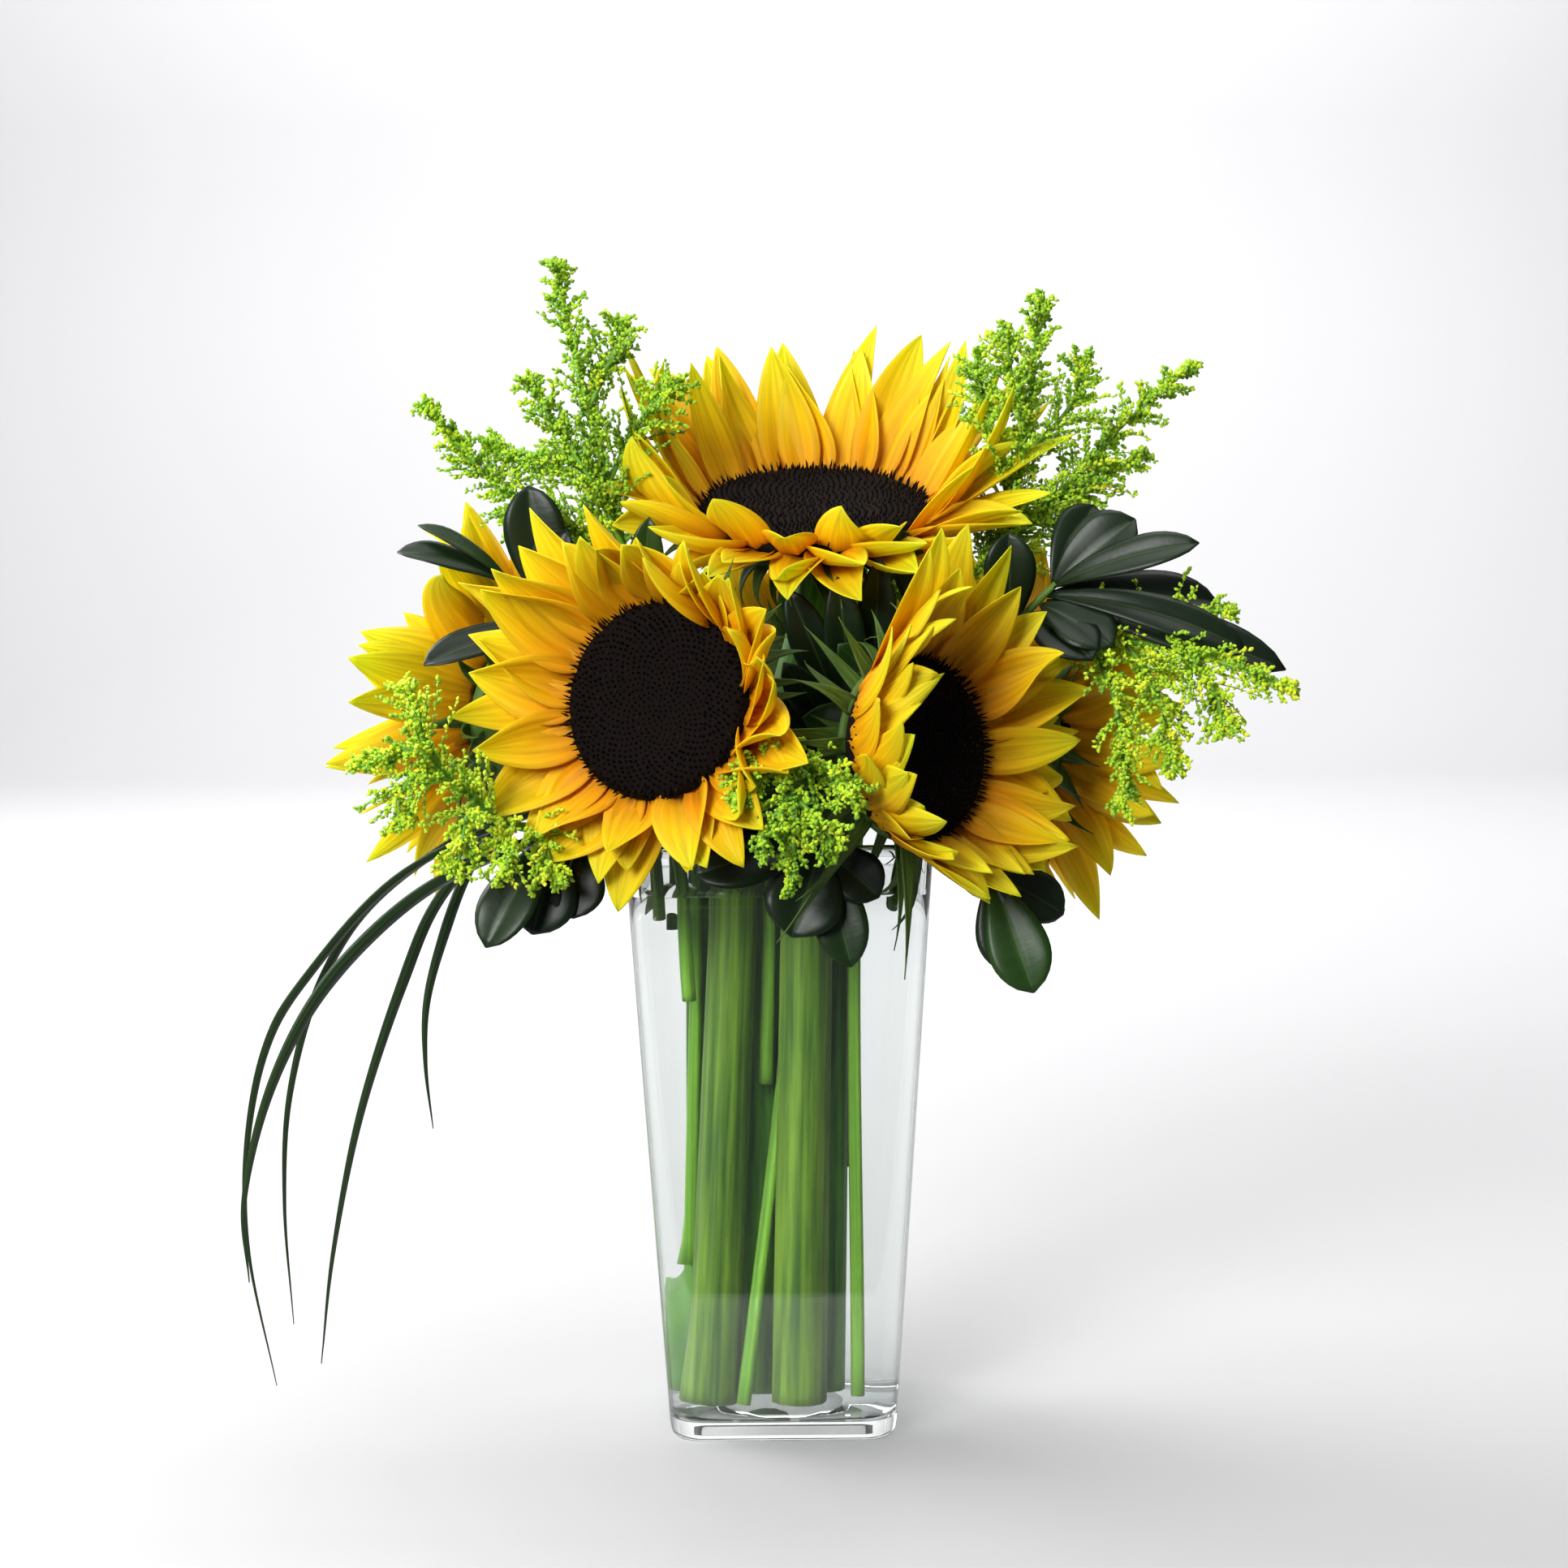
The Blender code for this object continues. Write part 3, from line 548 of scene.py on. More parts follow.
def petal_material():
    """Orange at the foot, golden, then lemon at the tip, with fine grooves that painted shade darkens, and
    light shining through.
    """
    made, tree, shader = new_material("petal_yellow", Roughness=0.6, Specular_IOR_Level=0.25)
    _, along = grid_axes(tree)
    tint = tint_of(tree)
    deep_stops = [
        (0.0, (0.56, 0.16, 0.001)),
        (0.25, (0.92, 0.40, 0.002)),
        (0.6, (0.98, 0.62, 0.004)),
        (1.0, (0.92, 0.82, 0.015)),
    ]
    pale_stops = [
        (0.0, (0.74, 0.30, 0.002)),
        (0.2, (0.94, 0.56, 0.003)),
        (0.5, (0.97, 0.82, 0.006)),
        (1.0, (0.86, 0.95, 0.03)),
    ]
    colour = blended(tree, "MIX", tint, ramp(tree, along, deep_stops), ramp(tree, along, pale_stops))
    streak = streaks(tree, 14.0, 1.2, tint)
    # Painted shade: the colour is darkened along the low streaks, the same streaks that the bump below sinks
    # into grooves.
    shade = ramp(tree, streak, [(0.32, (0.72, 0.66, 0.55)), (0.6, (1.0, 1.0, 1.0))])
    colour = blended(tree, "MULTIPLY", 0.8, colour, shade)
    tree.links.new(colour, shader.inputs["Base Color"])
    bumped(tree, shader, streak, 0.55, 0.0006)
    return lit_through(made, colour, 0.42)


def with_thickness(piece, thickness):
    """The sheet given a thickness, half to each side."""
    thick = piece.modifiers.new("thickness", "SOLIDIFY")
    thick.thickness = thickness
    thick.offset = 0.0
    return piece


petal_yellow = petal_material()
for number, flower in enumerate(FLOWERS):
    draw = np.random.default_rng(40 + number)
    head = heads[flower]
    reach, cup, sway, wide, pale = PETAL_FORM[flower]
    sheets, tints = [], []
    for ring, (count, share, more_cup) in enumerate(TOP_RINGS if flower == "top" else OTHER_RINGS):
        angles = (np.arange(count) + 0.4 * ring) * 2 * np.pi / count + draw.normal(0, 0.06, count)
        length = reach(angles) * share * draw.uniform(0.80, 1.09, count) * MM
        slope = cup(angles) + more_cup * (1 - cup(angles) / 60) + draw.normal(0, 6, count)
        sheets.append(
            ray_sheets(
                head, angles, head[4] - PETAL_ROOT, (0.8 * ring - 4.4) * MM, length + PETAL_ROOT,
                wide * draw.uniform(0.88, 1.2, count) * MM, np.radians(slope), draw.normal(0.05, 0.42, count),
                draw.normal(0, 0.65, count), sway(angles) + draw.normal(0, 0.11, count),
                draw.uniform(0.15, 0.75, count), (0.55, 0.92),
            )
        )
        tints.append(np.clip(draw.normal(pale, 0.22, count), 0, 1))
    petals = grid_piece(
        f"{flower}_petals", np.concatenate(sheets), petal_yellow, tint=np.concatenate(tints)
    )
    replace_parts(with_thickness(petals, PETAL_THICKNESS), f"sunflower_{flower}_petals")

# --- Green cups and bracts ----------------------------------------------------------------------
# Behind the petals the stem swells into a green cup, clothed in hairy pointed bracts whose tips curl back.

BRACT_THICKNESS = 0.0004
# From the disc back to the stem: shares of the disc's radius, and heights in millimetres.
CUP_PROFILE = np.array([
    (0.0, -5.2), (0.55, -5.2), (0.93, -5.2), (0.98, -6.4), (0.9, -9.5), (0.7, -13.5), (0.42, -17.0),
    (0.24, -20.0), (0.22, -22.0),
])
# For each ring of bracts: their count, their start as a share of the radius and a height, length and slope.
BRACT_RINGS = ((17, 0.86, -5.8, 25, 2), (16, 0.72, -9.0, 28, -12), (13, 0.5, -13.5, 21, -22))
# How much longer the bracts are on one side, and on which, in degrees round the head.
LONG_BRACTS = {"front_left": (0.5, 268), "front_right": (0.9, 255)}


def green_material(name, dark, light, through, rough=0.6):
    """Leafy green with veins, that lets a share of light through."""
    made, tree, shader = new_material(name, Roughness=rough, Specular_IOR_Level=0.35)
    streak = streaks(tree, 10.0, 3.0, tint_of(tree))
    colour = ramp(tree, streak, [(0.3, dark), (0.7, light)])
    tree.links.new(colour, shader.inputs["Base Color"])
    bumped(tree, shader, streak, 0.4, 0.0005)
    return lit_through(made, colour, through)


def turned(head, profile):
    """A profile turned round a head's axis: shares of its radius outward, and millimetres along its axis."""
    centre, right, up, out, radius = head
    turn = np.linspace(0, 2 * np.pi, 48, endpoint=False)
    wheel = np.cos(turn)[:, None] * right + np.sin(turn)[:, None] * up
    outward = np.maximum(profile[:, 0], 0.01)[:, None, None] * radius * wheel[None]
    return centre + (outward + profile[:, 1][:, None, None] * MM * out)


bract_green = green_material("bract_green", (0.03, 0.075, 0.006), (0.11, 0.20, 0.03), 0.2)
for number, flower in enumerate(FLOWERS):
    draw = np.random.default_rng(80 + number)
    head = heads[flower]
    cup = grid_piece(
        f"{flower}_cup", turned(head, CUP_PROFILE)[::-1], bract_green,
        around=True, ends=True, tint=[0.3 * number],
    )
    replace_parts(cup, f"sunflower_{flower}_bracts")
    more, side = LONG_BRACTS.get(flower, (0.0, 0.0))
    sheets = []
    for ring, (count, start, lift, long, slope) in enumerate(BRACT_RINGS):
        angles = (np.arange(count) + 0.37 * ring) * 2 * np.pi / count + draw.normal(0, 0.09, count)
        long = long * (1 + more * toward(angles, side, 2))
        sheets.append(
            ray_sheets(
                head, angles, start * head[4], lift * MM, draw.uniform(0.8, 1.15, count) * long * MM,
                draw.uniform(0.005, 0.0075, count), np.radians(slope + draw.normal(0, 7, count)),
                draw.normal(-0.8, 0.8, count), draw.normal(0, 0.5, count), draw.normal(0, 0.16, count),
                0.3, (0.25, 1.5), rows=11, columns=5,
            )
        )
    bracts = np.concatenate(sheets)
    tips = grid_piece(
        f"{flower}_bract_tips", bracts, bract_green, tint=draw.uniform(0, 5, len(bracts))
    )
    with_thickness(tips, BRACT_THICKNESS)

# --- Seed discs ---------------------------------------------------------------------------------
# The middle of each flower is a low dome of hundreds of tiny dark florets set in spirals, with a
# bristling rim of taller ones that stand over the feet of the petals.

FLORETS = 950
RIM_SHARE, MIDDLE_SHARE = 0.9, 0.6  # where the tall florets of the rim and those of the middle band begin
# From the middle over the rim: shares of the disc's radius, and heights in millimetres.
DOME = np.array([
    (0.0, 1.0), (0.2, 1.2), (0.4, 1.8), (0.62, 3.0), (0.8, 3.4), (0.93, 2.2), (1.0, -0.4), (0.97, -3.2)
])


def disc_material():
    """Almost black brown, a little warmer on some florets."""
    made, tree, shader = new_material("disc_brown", Roughness=0.9, Specular_IOR_Level=0.1)
    stops = [(0.0, (0.003, 0.0018, 0.0015)), (0.7, (0.007, 0.0035, 0.0025)), (1.0, (0.03, 0.011, 0.004))]
    tree.links.new(ramp(tree, tint_of(tree), stops), shader.inputs["Base Color"])
    return made


def circles(along, sides):
    """A ring of arms of length one round each direction, square to it."""
    side = unit(np.cross(along, np.array([0.31, 0.77, 0.55])))
    other = np.cross(along, side)
    turn = np.linspace(0, 2 * np.pi, sides, endpoint=False)
    return np.cos(turn)[None, :, None] * side[:, None] + np.sin(turn)[None, :, None] * other[:, None]


def spindles(feet, along, lengths, widths, belly):
    """Small four-sided pods: three rings, at the foot, the belly and the tip.

    The belly gives each ring's share of the length and its share of the width.
    """
    circle = circles(along, 4)
    rings = [
        feet[:, None] + (along * (lengths * up)[:, None])[:, None] + circle * (widths * size)[:, None, None]
        for up, size in belly
    ]
    return np.stack(rings, axis=1)


def banded(away, rim, middle, inner):
    """One value on the rim, one in the middle band and one inside, by the share of the way out."""
    return np.where(away > RIM_SHARE, rim, np.where(away > MIDDLE_SHARE, middle, inner))


disc_brown = disc_material()
for number, flower in enumerate(FLOWERS):
    draw = np.random.default_rng(120 + number)
    centre, right, up, out, radius = heads[flower]
    dome = grid_piece(
        f"{flower}_disc", turned(heads[flower], DOME), disc_brown, around=True, ends=True, tint=[0.2]
    )
    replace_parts(dome, f"sunflower_{flower}_disc")
    # Floret after floret is a golden angle further round, and further out as the square root of its number.
    order = np.arange(FLORETS) + 0.5
    away = np.sqrt(order / FLORETS)
    spiral = order * np.pi * (3 - np.sqrt(5))
    height = np.interp(away, DOME[:7, 0], DOME[:7, 1]) * MM
    spoke = np.cos(spiral)[:, None] * right + np.sin(spiral)[:, None] * up
    feet = centre + (away * radius * 0.985)[:, None] * spoke + height[:, None] * out
    lean = banded(away, 0.75, 0.1, -0.3)
    along = unit(out + lean[:, None] * spoke + draw.normal(0, 0.22, (FLORETS, 3)))
    rim_long = draw.uniform(2.2, 4.6, FLORETS)
    middle_long = draw.uniform(1.2, 2.2, FLORETS)
    inner_long = draw.uniform(0.8, 1.5, FLORETS)
    long = banded(away, rim_long, middle_long, inner_long) * MM
    wide = draw.uniform(0.35, 0.6, FLORETS) * MM
    florets = spindles(feet, along, long, wide, ((0.0, 0.6), (0.45, 1.0), (1.0, 0.15)))
    grid_piece(
        f"{flower}_florets", florets, disc_brown, around=True, ends=True, smooth=False,
        tint=np.clip(draw.normal(0.35, 0.3, FLORETS), 0, 1), uv=False,
    )

# --- Goldenrod ----------------------------------------------------------------------------------
# Feathery sprays of goldenrod in bud. Off a thin green stem and its side branches grow short twigs that arch
# outwards, each strung with tight oval buds of a yellowish green.

LONGEST_BUD = 2.1
BUD_ROOM = 2.6  # a bud and its offset from the twig
BUDS = 19  # on each twig
TWIG_RADIUS = 0.00026
# Each spray: the points of its stem, then those of its side branches, how yellow it is, and its longest
# twig, in millimetres.
SPRAYS = {
    "top_left": (
        [(-31, -9.5, 57), (-27.5, -14, 203), (-36, -14, 240), (-47, -3, 276), (-56, 3, 318), (-65, 0, 352),
         (-74, 0, 398)],
        [
            [(-49, -2, 288), (-70, 2, 308), (-96, 2, 322), (-119, -2, 349)],
            [(-52, 0, 300), (-62, -6, 322), (-84, -6, 356)],
            [(-57, 3, 322), (-48, 4, 340), (-33, 3, 357)],
            [(-64, 0, 346), (-56, 0, 362), (-52, 0, 376)],
            [(-51, 0, 294), (-68, 7, 304), (-92, 9, 311)],
            [(-56, 3, 316), (-72, 8, 330), (-100, 12, 334)],
        ],
        0.5,
        25,
    ),
    "top_right": (
        [(-13.4, -27.8, 11.3), (0.2, -12.3, 118), (8, -9.5, 203), (26, -12, 240), (58, -4, 277), (80, 5, 312),
         (86, 3, 345), (90, 0, 384)],
        [
            [(66, 0, 289), (92, 6, 312), (116, 4, 338), (140, -4, 360)],
            [(80, 5, 312), (74, 10, 340), (68, 10, 366)],
            [(84, 4, 330), (100, 8, 346), (106, 8, 364)],
            [(74, 2, 302), (102, 12, 316), (126, 10, 331)],
            [(85, 4, 340), (80, -2, 356), (78, -4, 372)],
        ],
        0.56,
        25,
    ),
    "right": (
        [(25.2, -14, 11.3), (26.5, -16, 203), (47, -15, 229), (80, -6, 256), (108, -18, 268), (142, -38, 262),
         (170, -45, 252)],
        [
            [(104, -16, 267), (110, -34, 252), (113, -46, 228), (112, -50, 213)],
            [(116, -23, 267), (124, -40, 252), (129, -50, 226)],
            [(132, -32, 264), (142, -46, 252), (144, -50, 238)],
            [(124, -28, 266), (134, -22, 276), (150, -24, 278)],
        ],
        0.68,
        22,
    ),
    "lower_left": (
        [(-30, -27, 150), (-35, -33, 203), (-56, -46, 212), (-84, -57, 211), (-103, -76, 228),
         (-114, -84, 238), (-132, -80, 232)],
        [
            [(-96, -69, 222), (-98, -82, 213), (-100, -88, 199)],
            [(-88, -60, 213), (-86, -76, 208), (-84, -88, 200)],
            [(-80, -55.5, 211), (-74, -70, 206), (-70, -82, 196)],
            [(-108, -80, 233), (-116, -88, 226), (-118, -86, 214)],
            [(-105, -78, 230), (-112, -80, 246), (-116, -76, 258)],
        ],
        0.7,
        21,
    ),
    "centre": (
        [(-5, -14.5, 120), (-2, -16, 203), (1, -34, 216), (6, -64, 230), (7, -84, 232), (5, -94, 216),
         (4, -96, 194)],
        [
            [(6, -76, 233), (-6, -90, 232), (-13, -96, 222)],
            [(6, -90, 226), (-2, -97, 216), (-6, -98, 206)],
            [(7, -84, 232), (20, -96, 228), (26, -100, 222)],
            [(6, -92, 222), (14, -98, 214), (18, -98, 206)],
        ],
        0.55,
        17,
    ),
    "back": (
        [(6, 14, 120), (8, 20, 203), (22, 40, 250), (36, 56, 290), (44, 66, 320), (46, 72, 346)],
        [
            [(30, 48, 272), (50, 62, 286), (62, 76, 292)],
            [(36, 56, 290), (30, 72, 306), (26, 84, 316)],
            [(42, 63, 312), (56, 72, 326), (66, 80, 332)],
        ],
        0.5,
        21,
    ),
}


def bud_material():
    """Green to yellow, from bud to bud, with a soft sheen."""
    made, tree, shader = new_material("goldenrod_bud", Roughness=0.6, Sheen_Weight=0.2)
    stops = [
        (0.0, (0.10, 0.28, 0.004)),
        (0.35, (0.30, 0.60, 0.008)),
        (0.75, (0.62, 0.86, 0.012)),
        (1.0, (0.86, 0.90, 0.02)),
    ]
    colour = ramp(tree, tint_of(tree), stops)
    tree.links.new(colour, shader.inputs["Base Color"])
    return lit_through(made, colour, 0.3)


def twig_places(draw, marks, first, spacing):
    """Feet and directions of the twigs along a curve, from a share of it on, at about the spacing."""
    path = spline(marks, 200) * MM
    ahead = unit(np.gradient(path, axis=0))
    far = np.concatenate([[0], np.cumsum(np.linalg.norm(np.diff(path, axis=0), axis=1))])
    spots = np.arange(far[-1] * first, far[-1], spacing) + draw.uniform(-0.3, 0.3) * spacing
    spots = np.clip(spots, 0, far[-1])
    feet = np.stack([np.interp(spots, far, path[:, i]) for i in range(3)], axis=1)
    return feet, np.stack([np.interp(spots, far, ahead[:, i]) for i in range(3)], axis=1), spots / far[-1]


def twig_points(t, feet, along, bend, tall):
    """Points at shares along arched twigs, which start along one direction and turn to another.

    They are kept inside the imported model's box, with room for a bud.
    """
    arch = t * along[:, None] * (1 - 0.4 * t) + 0.4 * t**2 * bend[:, None]
    free = feet[:, None] + tall[:, None, None] * arch
    return np.clip(free, cad_box[0] + BUD_ROOM * MM, cad_box[1] - BUD_ROOM * MM)


rod_green = stem_material("goldenrod_stem", (0.06, 0.18, 0.006), (0.18, 0.40, 0.03), 6)
bud_green = bud_material()
for number, (spray, (stem, branches, yellow, longest)) in enumerate(SPRAYS.items()):
    draw = np.random.default_rng(160 + number)
    stem_piece = grid_piece(
        f"goldenrod_{spray}_stem", swept(spline(stem, 90) * MM, np.linspace(0.0024, 0.0007, 90), 12),
        rod_green, around=True, ends=True, tint=[number * 1.3],
    )
    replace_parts(stem_piece, f"goldenrod_{spray}")
    grid_piece(
        f"goldenrod_{spray}_branches",
        [swept(spline(marks, 30) * MM, np.linspace(0.0010, 0.0005, 30), 8) for marks in branches],
        rod_green, around=True, ends=True, tint=draw.uniform(0, 4, len(branches)),
    )
    found = [twig_places(draw, stem[-4:], 0.12, 0.0010)]
    found += [twig_places(draw, marks, 0.1, 0.0009) for marks in branches]
    feet, ahead, share = (np.concatenate(part) for part in zip(*found))
    count = len(feet)
    loose = draw.normal(0, 1, (count, 3))
    square = unit(loose - ahead * (loose * ahead).sum(axis=1)[:, None])
    along = unit(ahead * 0.8 + square * 0.8 + np.array([0, 0, 0.1]))
    tall = draw.uniform(7, longest, count) * (0.12 + 1.1 * np.clip(1 - share, 0, 1) ** 0.6) * MM
    bend = unit(along + np.array([0, 0, -0.5]) + draw.normal(0, 0.2, (count, 3)))
    t = np.linspace(0, 1, 5)[None, :, None]
    radii = (TWIG_RADIUS * (1 - 0.5 * t))[..., None]
    twigs = twig_points(t, feet, along, bend, tall)[:, :, None] + circles(along, 3)[:, None] * radii
    grid_piece(
        f"goldenrod_{spray}_twigs", twigs, rod_green, around=True, ends=True,
        tint=draw.uniform(0, 4, count),
    )
    where = ((np.arange(BUDS) + 0.8) / BUDS)[None, :, None]
    face = unit(along[:, None] * 0.8 + draw.normal(0, 0.75, (count, BUDS, 3)))
    spots = (twig_points(where, feet, along, bend, tall) + face * 0.0003).reshape(-1, 3)
    lengths = draw.uniform(1.1, LONGEST_BUD, len(spots)) * MM
    tints = draw.normal(yellow, 0.15, count)[:, None] + draw.normal(0, 0.13, (count, BUDS))
    buds = spindles(spots, face.reshape(-1, 3), lengths, lengths, ((0.0, 0.16), (0.5, 0.42), (1.0, 0.14)))
    grid_piece(
        f"goldenrod_{spray}_buds", buds, bud_green, around=True, ends=True, uv=False,
        tint=np.clip(tints, 0, 1).ravel(),
    )

# --- Leafy sprigs -------------------------------------------------------------------------------
# Twigs of a dark evergreen with leathery, spoon-shaped leaves: shiny on top, with a paler midrib, and
# the edges turned slightly up. Each twig's foot is in the vase.

LEAF_THICKNESS = 0.0004
# Which way a leaf's upper side faces.
UP, FRONT, TILTED, LEVEL = (0, 0, 1), (0, -1, 0), (0.1, -0.85, 0.55), (0.3, -0.45, 0.85)
NODDING, RISING, BEHIND = (0, -1, 0.3), (0, -1, 0.5), (0, 1, 0.2)
# Each sprig: the points of its twig, then each leaf's foot, tip, width, arch and upper side, in millimetres.
SPRIGS = {
    "right_upper": (
        [(24, -7, 90), (27, -6, 203), (51, -9, 246), (78, -16, 272), (93, -20, 287)],
        [
            ((92, -20, 286), (119, -24, 308), 20, 0.06, TILTED),
            ((92, -20, 286), (138, -38, 300), 13, 0.08, TILTED),
            ((90, -19, 283), (148, -14, 280), 18, 0.05, TILTED),
            ((90, -19, 281), (168, -30, 258), 17, 0.06, TILTED),
            ((88, -20, 280), (110, -36, 266), 19, 0.06, TILTED),
            ((92, -20, 286), (107, -8, 313), 17, 0.05, NODDING),
            ((78, -16, 272), (77, -24, 304), 17, 0.05, NODDING),
            ((90, -19, 283), (154, -32, 265), 14, 0.1, TILTED),
            ((84, -17, 277), (103, -40, 262), 20, 0.06, TILTED),
        ],
    ),
    "right_lower": (
        [(37, -34, 179), (41, -37, 200), (50, -39, 209), (62, -38, 200), (72, -37, 188)],
        [
            ((71, -37, 190), (83, -49, 154), 20, 0.06, FRONT),
            ((70, -37, 192), (76, -44, 160), 18, 0.05, FRONT),
            ((68, -37, 193), (94, -36, 178), 17, 0.05, RISING),
            ((60, -38, 201), (84, -24, 196), 14, 0.08, UP),
        ],
    ),
    "centre": (
        [(10, -40, 178), (11, -42, 200), (12, -49, 209), (14, -60, 204)],
        [
            ((13, -59, 205), (-27, -68, 196), 19, 0.06, RISING),
            ((14, -60, 204), (4, -70, 176), 25, 0.06, (0, -1, 0.2)),
            ((14, -60, 204), (23, -68, 166), 17, 0.05, FRONT),
            ((12, -54, 208), (-22, -58, 212), 17, 0.05, (0, -0.4, 1)),
            ((14, -60, 204), (32, -66, 188), 17, 0.05, NODDING),
        ],
    ),
    "left_lower": (
        [(-39, -39, 178), (-41, -42, 202), (-48, -48, 209.5), (-63, -57, 206), (-74, -60, 207)],
        [
            ((-73, -60, 207), (-93, -74, 174), 18, 0.06, (-0.4, -1, 0)),
            ((-70, -58, 208), (-79, -66, 177), 22, 0.06, FRONT),
            ((-63, -57, 206), (-66, -66, 182), 18, 0.05, FRONT),
        ],
    ),
    "left_upper": (
        [(-36, -5, 172), (-37, -6, 203), (-51, -7, 244), (-72, -8, 274), (-90, -11, 288)],
        [
            ((-78, -8, 280), (-83, -12, 321), 20, 0.05, NODDING),
            ((-89, -11, 287), (-120, -14, 308), 9, 0.08, LEVEL),
            ((-89, -11, 287), (-126, -22, 299), 15, 0.08, LEVEL),
            ((-72, -8, 274), (-116, -36, 262), 15, 0.06, LEVEL),
            ((-84, -10, 284), (-70, -14, 306), 15, 0.05, NODDING),
        ],
    ),
    "back_left": (
        [(-22, 24, 120), (-26, 28, 203), (-40, 50, 240), (-56, 66, 264)],
        [
            ((-52, 62, 259), (-53, 82, 300), 17, 0.08, UP),
            ((-55, 65, 263), (-62, 98, 276), 18, 0.08, UP),
            ((-46, 56, 250), (-40, 62, 292), 17, 0.05, (0, 1, 0.3)),
        ],
    ),
    "back_right": (
        [(18, 26, 120), (24, 32, 203), (42, 60, 224), (50, 74, 226)],
        [
            ((49, 72, 226), (58, 104, 198), 18, 0.08, UP),
            ((46, 67, 225), (40, 90, 192), 18, 0.05, BEHIND),
            ((49, 72, 226), (62, 84, 192), 17, 0.05, BEHIND),
        ],
    ),
}


def leaf_sheets(feet, tips, widths, arches, faces, rows=17, columns=9):
    """Spoon-shaped leaves from foot to tip.

    The width grows with a power of the length share and closes in a round tip. The spine arches by a share of
    the length, and the surface folds up from the midrib and rolls down again near the edge.
    """
    t = np.linspace(0, 1, rows)
    length = np.linalg.norm(tips - feet, axis=1)
    ahead = unit(tips - feet)
    side = unit(np.cross(ahead, faces))
    lift = np.cross(side, ahead)
    body = (t + 0.02) ** 0.9 * (1.0 - t**2.6) ** 0.75
    body = body / body.max() + 0.03
    arch = ((arches * length)[:, None] * 4 * t * (1 - t))[..., None] * lift[:, None]
    spine = feet[:, None] + t[None, :, None] * (tips - feet)[:, None] + arch
    s = np.linspace(-1, 1, columns)[None, None, :, None]
    half = (widths[:, None] / 2 * body[None])[..., None, None]
    rise = half * (0.34 * abs(s) - 0.16 * s**4 + 0.05 * np.sin(9 * t)[None, :, None, None] * abs(s))
    return spine[:, :, None] + half * s * side[:, None, None] + rise * lift[:, None, None]


def leaf_material():
    """Very dark shiny green, with a pale midrib and faint side veins drawn by painted shade."""
    made, tree, shader = new_material("leaf_green", Roughness=0.42, Specular_IOR_Level=0.3)
    across, _ = grid_axes(tree)
    off = tree.nodes.new("ShaderNodeMath")
    off.operation = "SUBTRACT"
    off.inputs[1].default_value = 0.5
    tree.links.new(across, off.inputs[0])
    size = tree.nodes.new("ShaderNodeMath")
    size.operation = "ABSOLUTE"
    tree.links.new(off.outputs[0], size.inputs[0])
    tint = tint_of(tree)
    greens = [(0.0, (0.003, 0.009, 0.003)), (0.6, (0.006, 0.018, 0.004)), (1.0, (0.025, 0.08, 0.008))]
    rib = ramp(tree, size.outputs[0], [(0.0, (0.05, 0.09, 0.02)), (0.035, (0.0, 0.0, 0.0))])
    colour = blended(tree, "ADD", 0.5, ramp(tree, tint, greens), rib)
    streak = streaks(tree, 3.0, 16.0, tint)
    # Painted shade: the colour is darkened along the low streaks, which the bump below sinks; they draw the
    # faint side veins.
    shade = ramp(tree, streak, [(0.3, (0.7, 0.7, 0.7)), (0.7, (1.0, 1.0, 1.0))])
    colour = blended(tree, "MULTIPLY", 0.7, colour, shade)
    tree.links.new(colour, shader.inputs["Base Color"])
    bumped(tree, shader, streak, 0.25, 0.0004)
    return made


def leaf_piece(name, leaves, tints):
    """All the leaves of a sprig as one piece."""
    feet, tips, widths, arches, faces = (np.array(part, float) for part in zip(*leaves))
    sheets = leaf_sheets(feet * MM, tips * MM, widths * MM, arches, faces)
    return with_thickness(grid_piece(name, sheets, leaf_green, tint=tints), LEAF_THICKNESS)


leaf_green = leaf_material()
twig_green = stem_material("twig_green", (0.04, 0.10, 0.008), (0.13, 0.24, 0.035), 5)
for number, (sprig, (twig, leaves)) in enumerate(SPRIGS.items()):
    draw = np.random.default_rng(200 + number)
    piece = grid_piece(
        f"{sprig}_twig", swept(spline(twig, 40) * MM, np.linspace(0.0019, 0.0012, 40), 10), twig_green,
        around=True, ends=True, tint=[0.4 * number],
    )
    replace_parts(piece, f"leaves_{sprig}")
    leaf_piece(f"{sprig}_leaves", leaves, draw.uniform(0, 0.8, len(leaves)))

# The goldenrod's own leaves, narrow and pointed, where its stems pass between the flower heads.
STEM_LEAVES = [
    ((24, -12, 238), (4, -30, 286), 14, 0.1, FRONT),
    ((26, -12, 240), (20, -34, 290), 13, 0.1, FRONT),
    ((22, -12, 234), (2, -34, 262), 13, 0.12, FRONT),
    ((31, -11, 245), (34, -30, 296), 13, 0.08, FRONT),
    ((18, -11, 225), (-6, -28, 252), 12, 0.1, FRONT),
    ((52, -6, 270), (40, -24, 306), 12, 0.08, FRONT),
    ((-40, -10, 254), (-22, -28, 292), 13, 0.08, FRONT),
    ((-46, -5, 272), (-42, -24, 310), 12, 0.08, FRONT),
    ((36, -11, 252), (20, -36, 268), 13, 0.1, FRONT),
    ((27, -12, 241), (8, -42, 244), 13, 0.12, FRONT),
]
leaf_piece("goldenrod_leaves", STEM_LEAVES, np.linspace(0.3, 0.9, len(STEM_LEAVES)))

# --- Lily grass ---------------------------------------------------------------------------------
# Long, narrow, dark blades, folded along the middle, that lean over the rim and hang in an arc. A blade is
# pale at its foot, where no light reached it as it grew.

BLADE_THICKNESS = 0.0003
GRASS_SIDE = np.array([0.8, 0.6, -0.2])  # across the blades
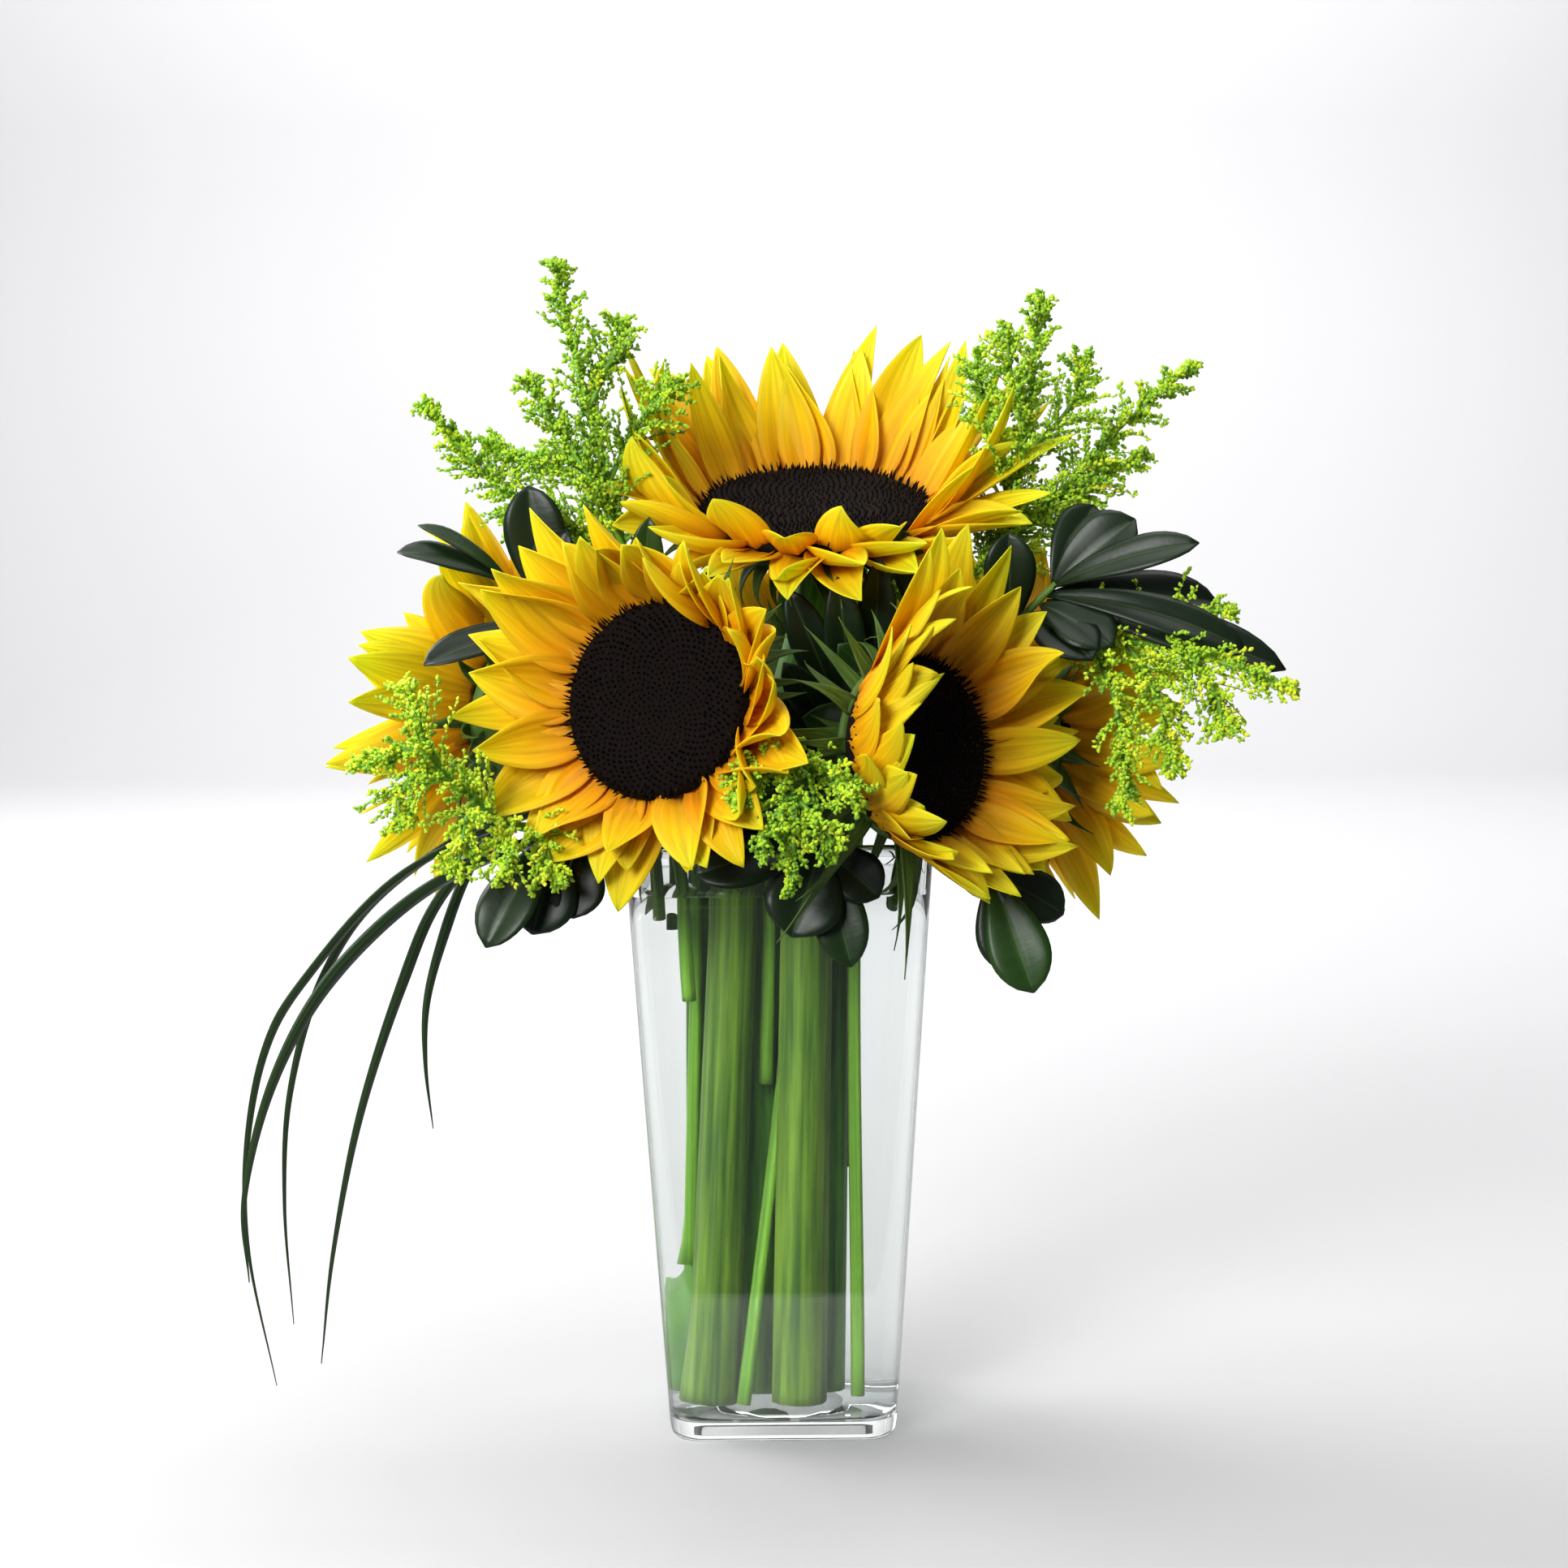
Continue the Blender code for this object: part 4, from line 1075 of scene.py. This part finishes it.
# Each blade: the points that it follows and its width, in millimetres.
GRASS = {
    1: (
        [(-41.5, -24.5, 178), (-43, -26, 200), (-54, -30, 214), (-82, -38, 212), (-124, -44, 193),
         (-155, -47, 160), (-169, -47, 136), (-176, -47, 102), (-176, -47, 68), (-168, -47, 24)],
        3.4,
    ),
    2: (
        [(-41.5, -19.5, 178), (-43, -21, 200), (-55, -24, 218), (-84, -34, 216), (-128, -40, 189),
         (-150, -41, 160), (-162, -41, 122), (-165, -41, 84), (-163, -41, 43)],
        3.4,
    ),
    3: (
        [(-41.5, -14.5, 178), (-43, -16, 200), (-56, -18, 221), (-84, -27, 213), (-111, -33, 186),
         (-125, -35, 156), (-140, -36, 112), (-150, -36, 66), (-155, -36, 28)],
        4.4,
    ),
    4: (
        [(-41.5, -30.5, 178), (-43, -32, 200), (-53, -36, 210), (-80, -46, 204), (-111, -51, 191),
         (-134, -55, 173), (-153, -57, 150), (-167, -58, 121), (-175, -58, 88), (-174, -58, 62)],
        5.6,
    ),
    5: (
        [(-41, -9.5, 178), (-43, -11, 200), (-57, -12, 226), (-86, -20, 223), (-103, -23, 194),
         (-112, -26, 171), (-118, -28, 149), (-119, -28, 128), (-117, -28, 106)],
        4.2,
    ),
}


def pale_footed(made, pale, end):
    """A leaf's colour turned pale towards its foot, up to a share of its length."""
    tree = made.node_tree
    shader = tree.nodes["Principled BSDF"]
    colour = shader.inputs["Base Color"].links[0].from_socket
    white, black = (1.0, 1.0, 1.0), (0.0, 0.0, 0.0)
    _, along = grid_axes(tree)
    foot = ramp(tree, along, [(0.0, white), (end * 0.6, white), (end, black)])
    tree.links.new(blended(tree, "MIX", foot, colour, pale), shader.inputs["Base Color"])
    return made


def blade_sheet(marks, width):
    """A strip along a smooth path, creased along its middle and narrowing to its foot and its tip."""
    path = spline(marks, 90) * MM
    ahead = unit(np.gradient(path, axis=0))
    cross = unit(GRASS_SIDE - ahead * (ahead @ GRASS_SIDE)[:, None])
    crease = np.cross(cross, ahead)
    t = np.linspace(0, 1, 90)
    half = (width * MM / 2 * np.minimum(1, 0.06 + 2.4 * (1 - t)) * np.minimum(1, 0.7 + t))[:, None]
    s = np.linspace(-1, 1, 7)
    raised = (half * 0.45 * abs(s))[..., None] * crease[:, None]
    return path[:, None] + (half * s)[..., None] * cross[:, None] + raised


grass_green = green_material("grass_green", (0.008, 0.022, 0.006), (0.03, 0.065, 0.018), 0.12, rough=0.4)
grass_green = pale_footed(grass_green, (0.42, 0.52, 0.26), 0.12)
for number, (marks, width) in GRASS.items():
    blade = grid_piece(
        f"grass_blade_{number}", blade_sheet(marks, width), grass_green, tint=[0.7 * number]
    )
    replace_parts(with_thickness(blade, BLADE_THICKNESS), f"grass_{number}")

# --- Floor, light and camera --------------------------------------------------------------------
# A pale floor that curves up into a backdrop, in soft daylight from the left, and a long lens a little
# above the flowers. The floor ends just in front of the vase, so that the glass doesn't mirror it.

TABLE_EDGE = -0.16
TABLE_HALF = 1.7
BACKDROP_FOOT = 2.6  # where the floor starts to curve up
BACKDROP_BOW = 1.0  # the radius of that curve
BACKDROP_TOP = 4.0
AIR = 0.0002  # between the glass and what it stands on

bow = np.linspace(0, np.pi / 2, 16)
curve = np.stack([BACKDROP_FOOT + BACKDROP_BOW * np.sin(bow), BACKDROP_BOW * (1 - np.cos(bow))], axis=1)
profile = [(TABLE_EDGE, 0.0), *curve.tolist(), (BACKDROP_FOOT + BACKDROP_BOW, BACKDROP_TOP)]
floor_points = [(x, y, z - AIR) for y, z in profile for x in (-TABLE_HALF, TABLE_HALF)]
floor_faces = [(2 * i, 2 * i + 1, 2 * i + 3, 2 * i + 2) for i in range(len(profile) - 1)]
floor_mesh = bpy.data.meshes.new("floor")
floor_mesh.from_pydata(floor_points, [], floor_faces)
floor_mesh.polygons.foreach_set("use_smooth", np.full(len(floor_mesh.polygons), True))
floor_white, _, _ = new_material("floor_white", Base_Color=(0.46, 0.46, 0.465, 1), Roughness=0.6)
floor_mesh.materials.append(floor_white)
floor = bpy.data.objects.new("floor", floor_mesh)
scene.collection.objects.link(floor)

world = bpy.data.worlds.new("daylight")
world.use_nodes = True
sky = world.node_tree
direction = sky.nodes.new("ShaderNodeTexCoord")
turned_axes = sky.nodes.new("ShaderNodeSeparateXYZ")
sky.links.new(direction.outputs["Generated"], turned_axes.inputs[0])
# The light of the room is bright behind the flowers and dim in front, and past the floor's edge all is pale.
room_stops = [(0.0, (0.13, 0.13, 0.14)), (0.55, (0.18, 0.18, 0.19)), (0.92, (0.97, 0.98, 1.0))]
room = ramp(sky, turned_axes.outputs["Y"], room_stops)
seen = sky.nodes.new("ShaderNodeLightPath").outputs["Is Camera Ray"]
sky.links.new(blended(sky, "MIX", seen, room, (0.85, 0.85, 0.86)), sky.nodes["Background"].inputs["Color"])
sky.nodes["Background"].inputs["Strength"].default_value = 1.05
scene.world = world


def soft_light(name, place, target, size, power):
    """A rectangular lamp of a size, at a place, turned to a target."""
    lamp = bpy.data.lights.new(name, "AREA")
    lamp.shape = "RECTANGLE"
    lamp.size, lamp.size_y = size
    lamp.energy = power
    thing = bpy.data.objects.new(name, lamp)
    thing.location = place
    thing.rotation_euler = (Vector(target) - Vector(place)).to_track_quat("-Z", "Y").to_euler()
    scene.collection.objects.link(thing)


soft_light("window", (-1.6, 0.9, 1.2), (0, 0, 0.25), (1.2, 1.8), 55)
soft_light("front", (-0.9, -1.5, 0.95), (0, 0, 0.2), (0.8, 0.8), 50)
soft_light("ceiling", (0.1, 0.1, 1.9), (0, 0, 0.2), (1.6, 1.6), 22)
soft_light("backdrop", (0, 1.4, 2.6), (0, 3.6, 1.0), (3.0, 1.0), 165)

CAMERA_TILT = np.radians(85.0)  # from straight down
CAMERA_ROLL = -0.008
camera = bpy.data.cameras.new("camera")
camera.lens = 61.78
camera.clip_start = 0.01
view = bpy.data.objects.new("camera", camera)
view.matrix_world = (
    Matrix.Translation((0.0019, -0.9191, 0.2993))
    @ Matrix.Rotation(CAMERA_TILT, 4, "X")
    @ Matrix.Rotation(CAMERA_ROLL, 4, "Z")
)
scene.collection.objects.link(view)
scene.camera = view
scene.view_settings.view_transform = "Standard"
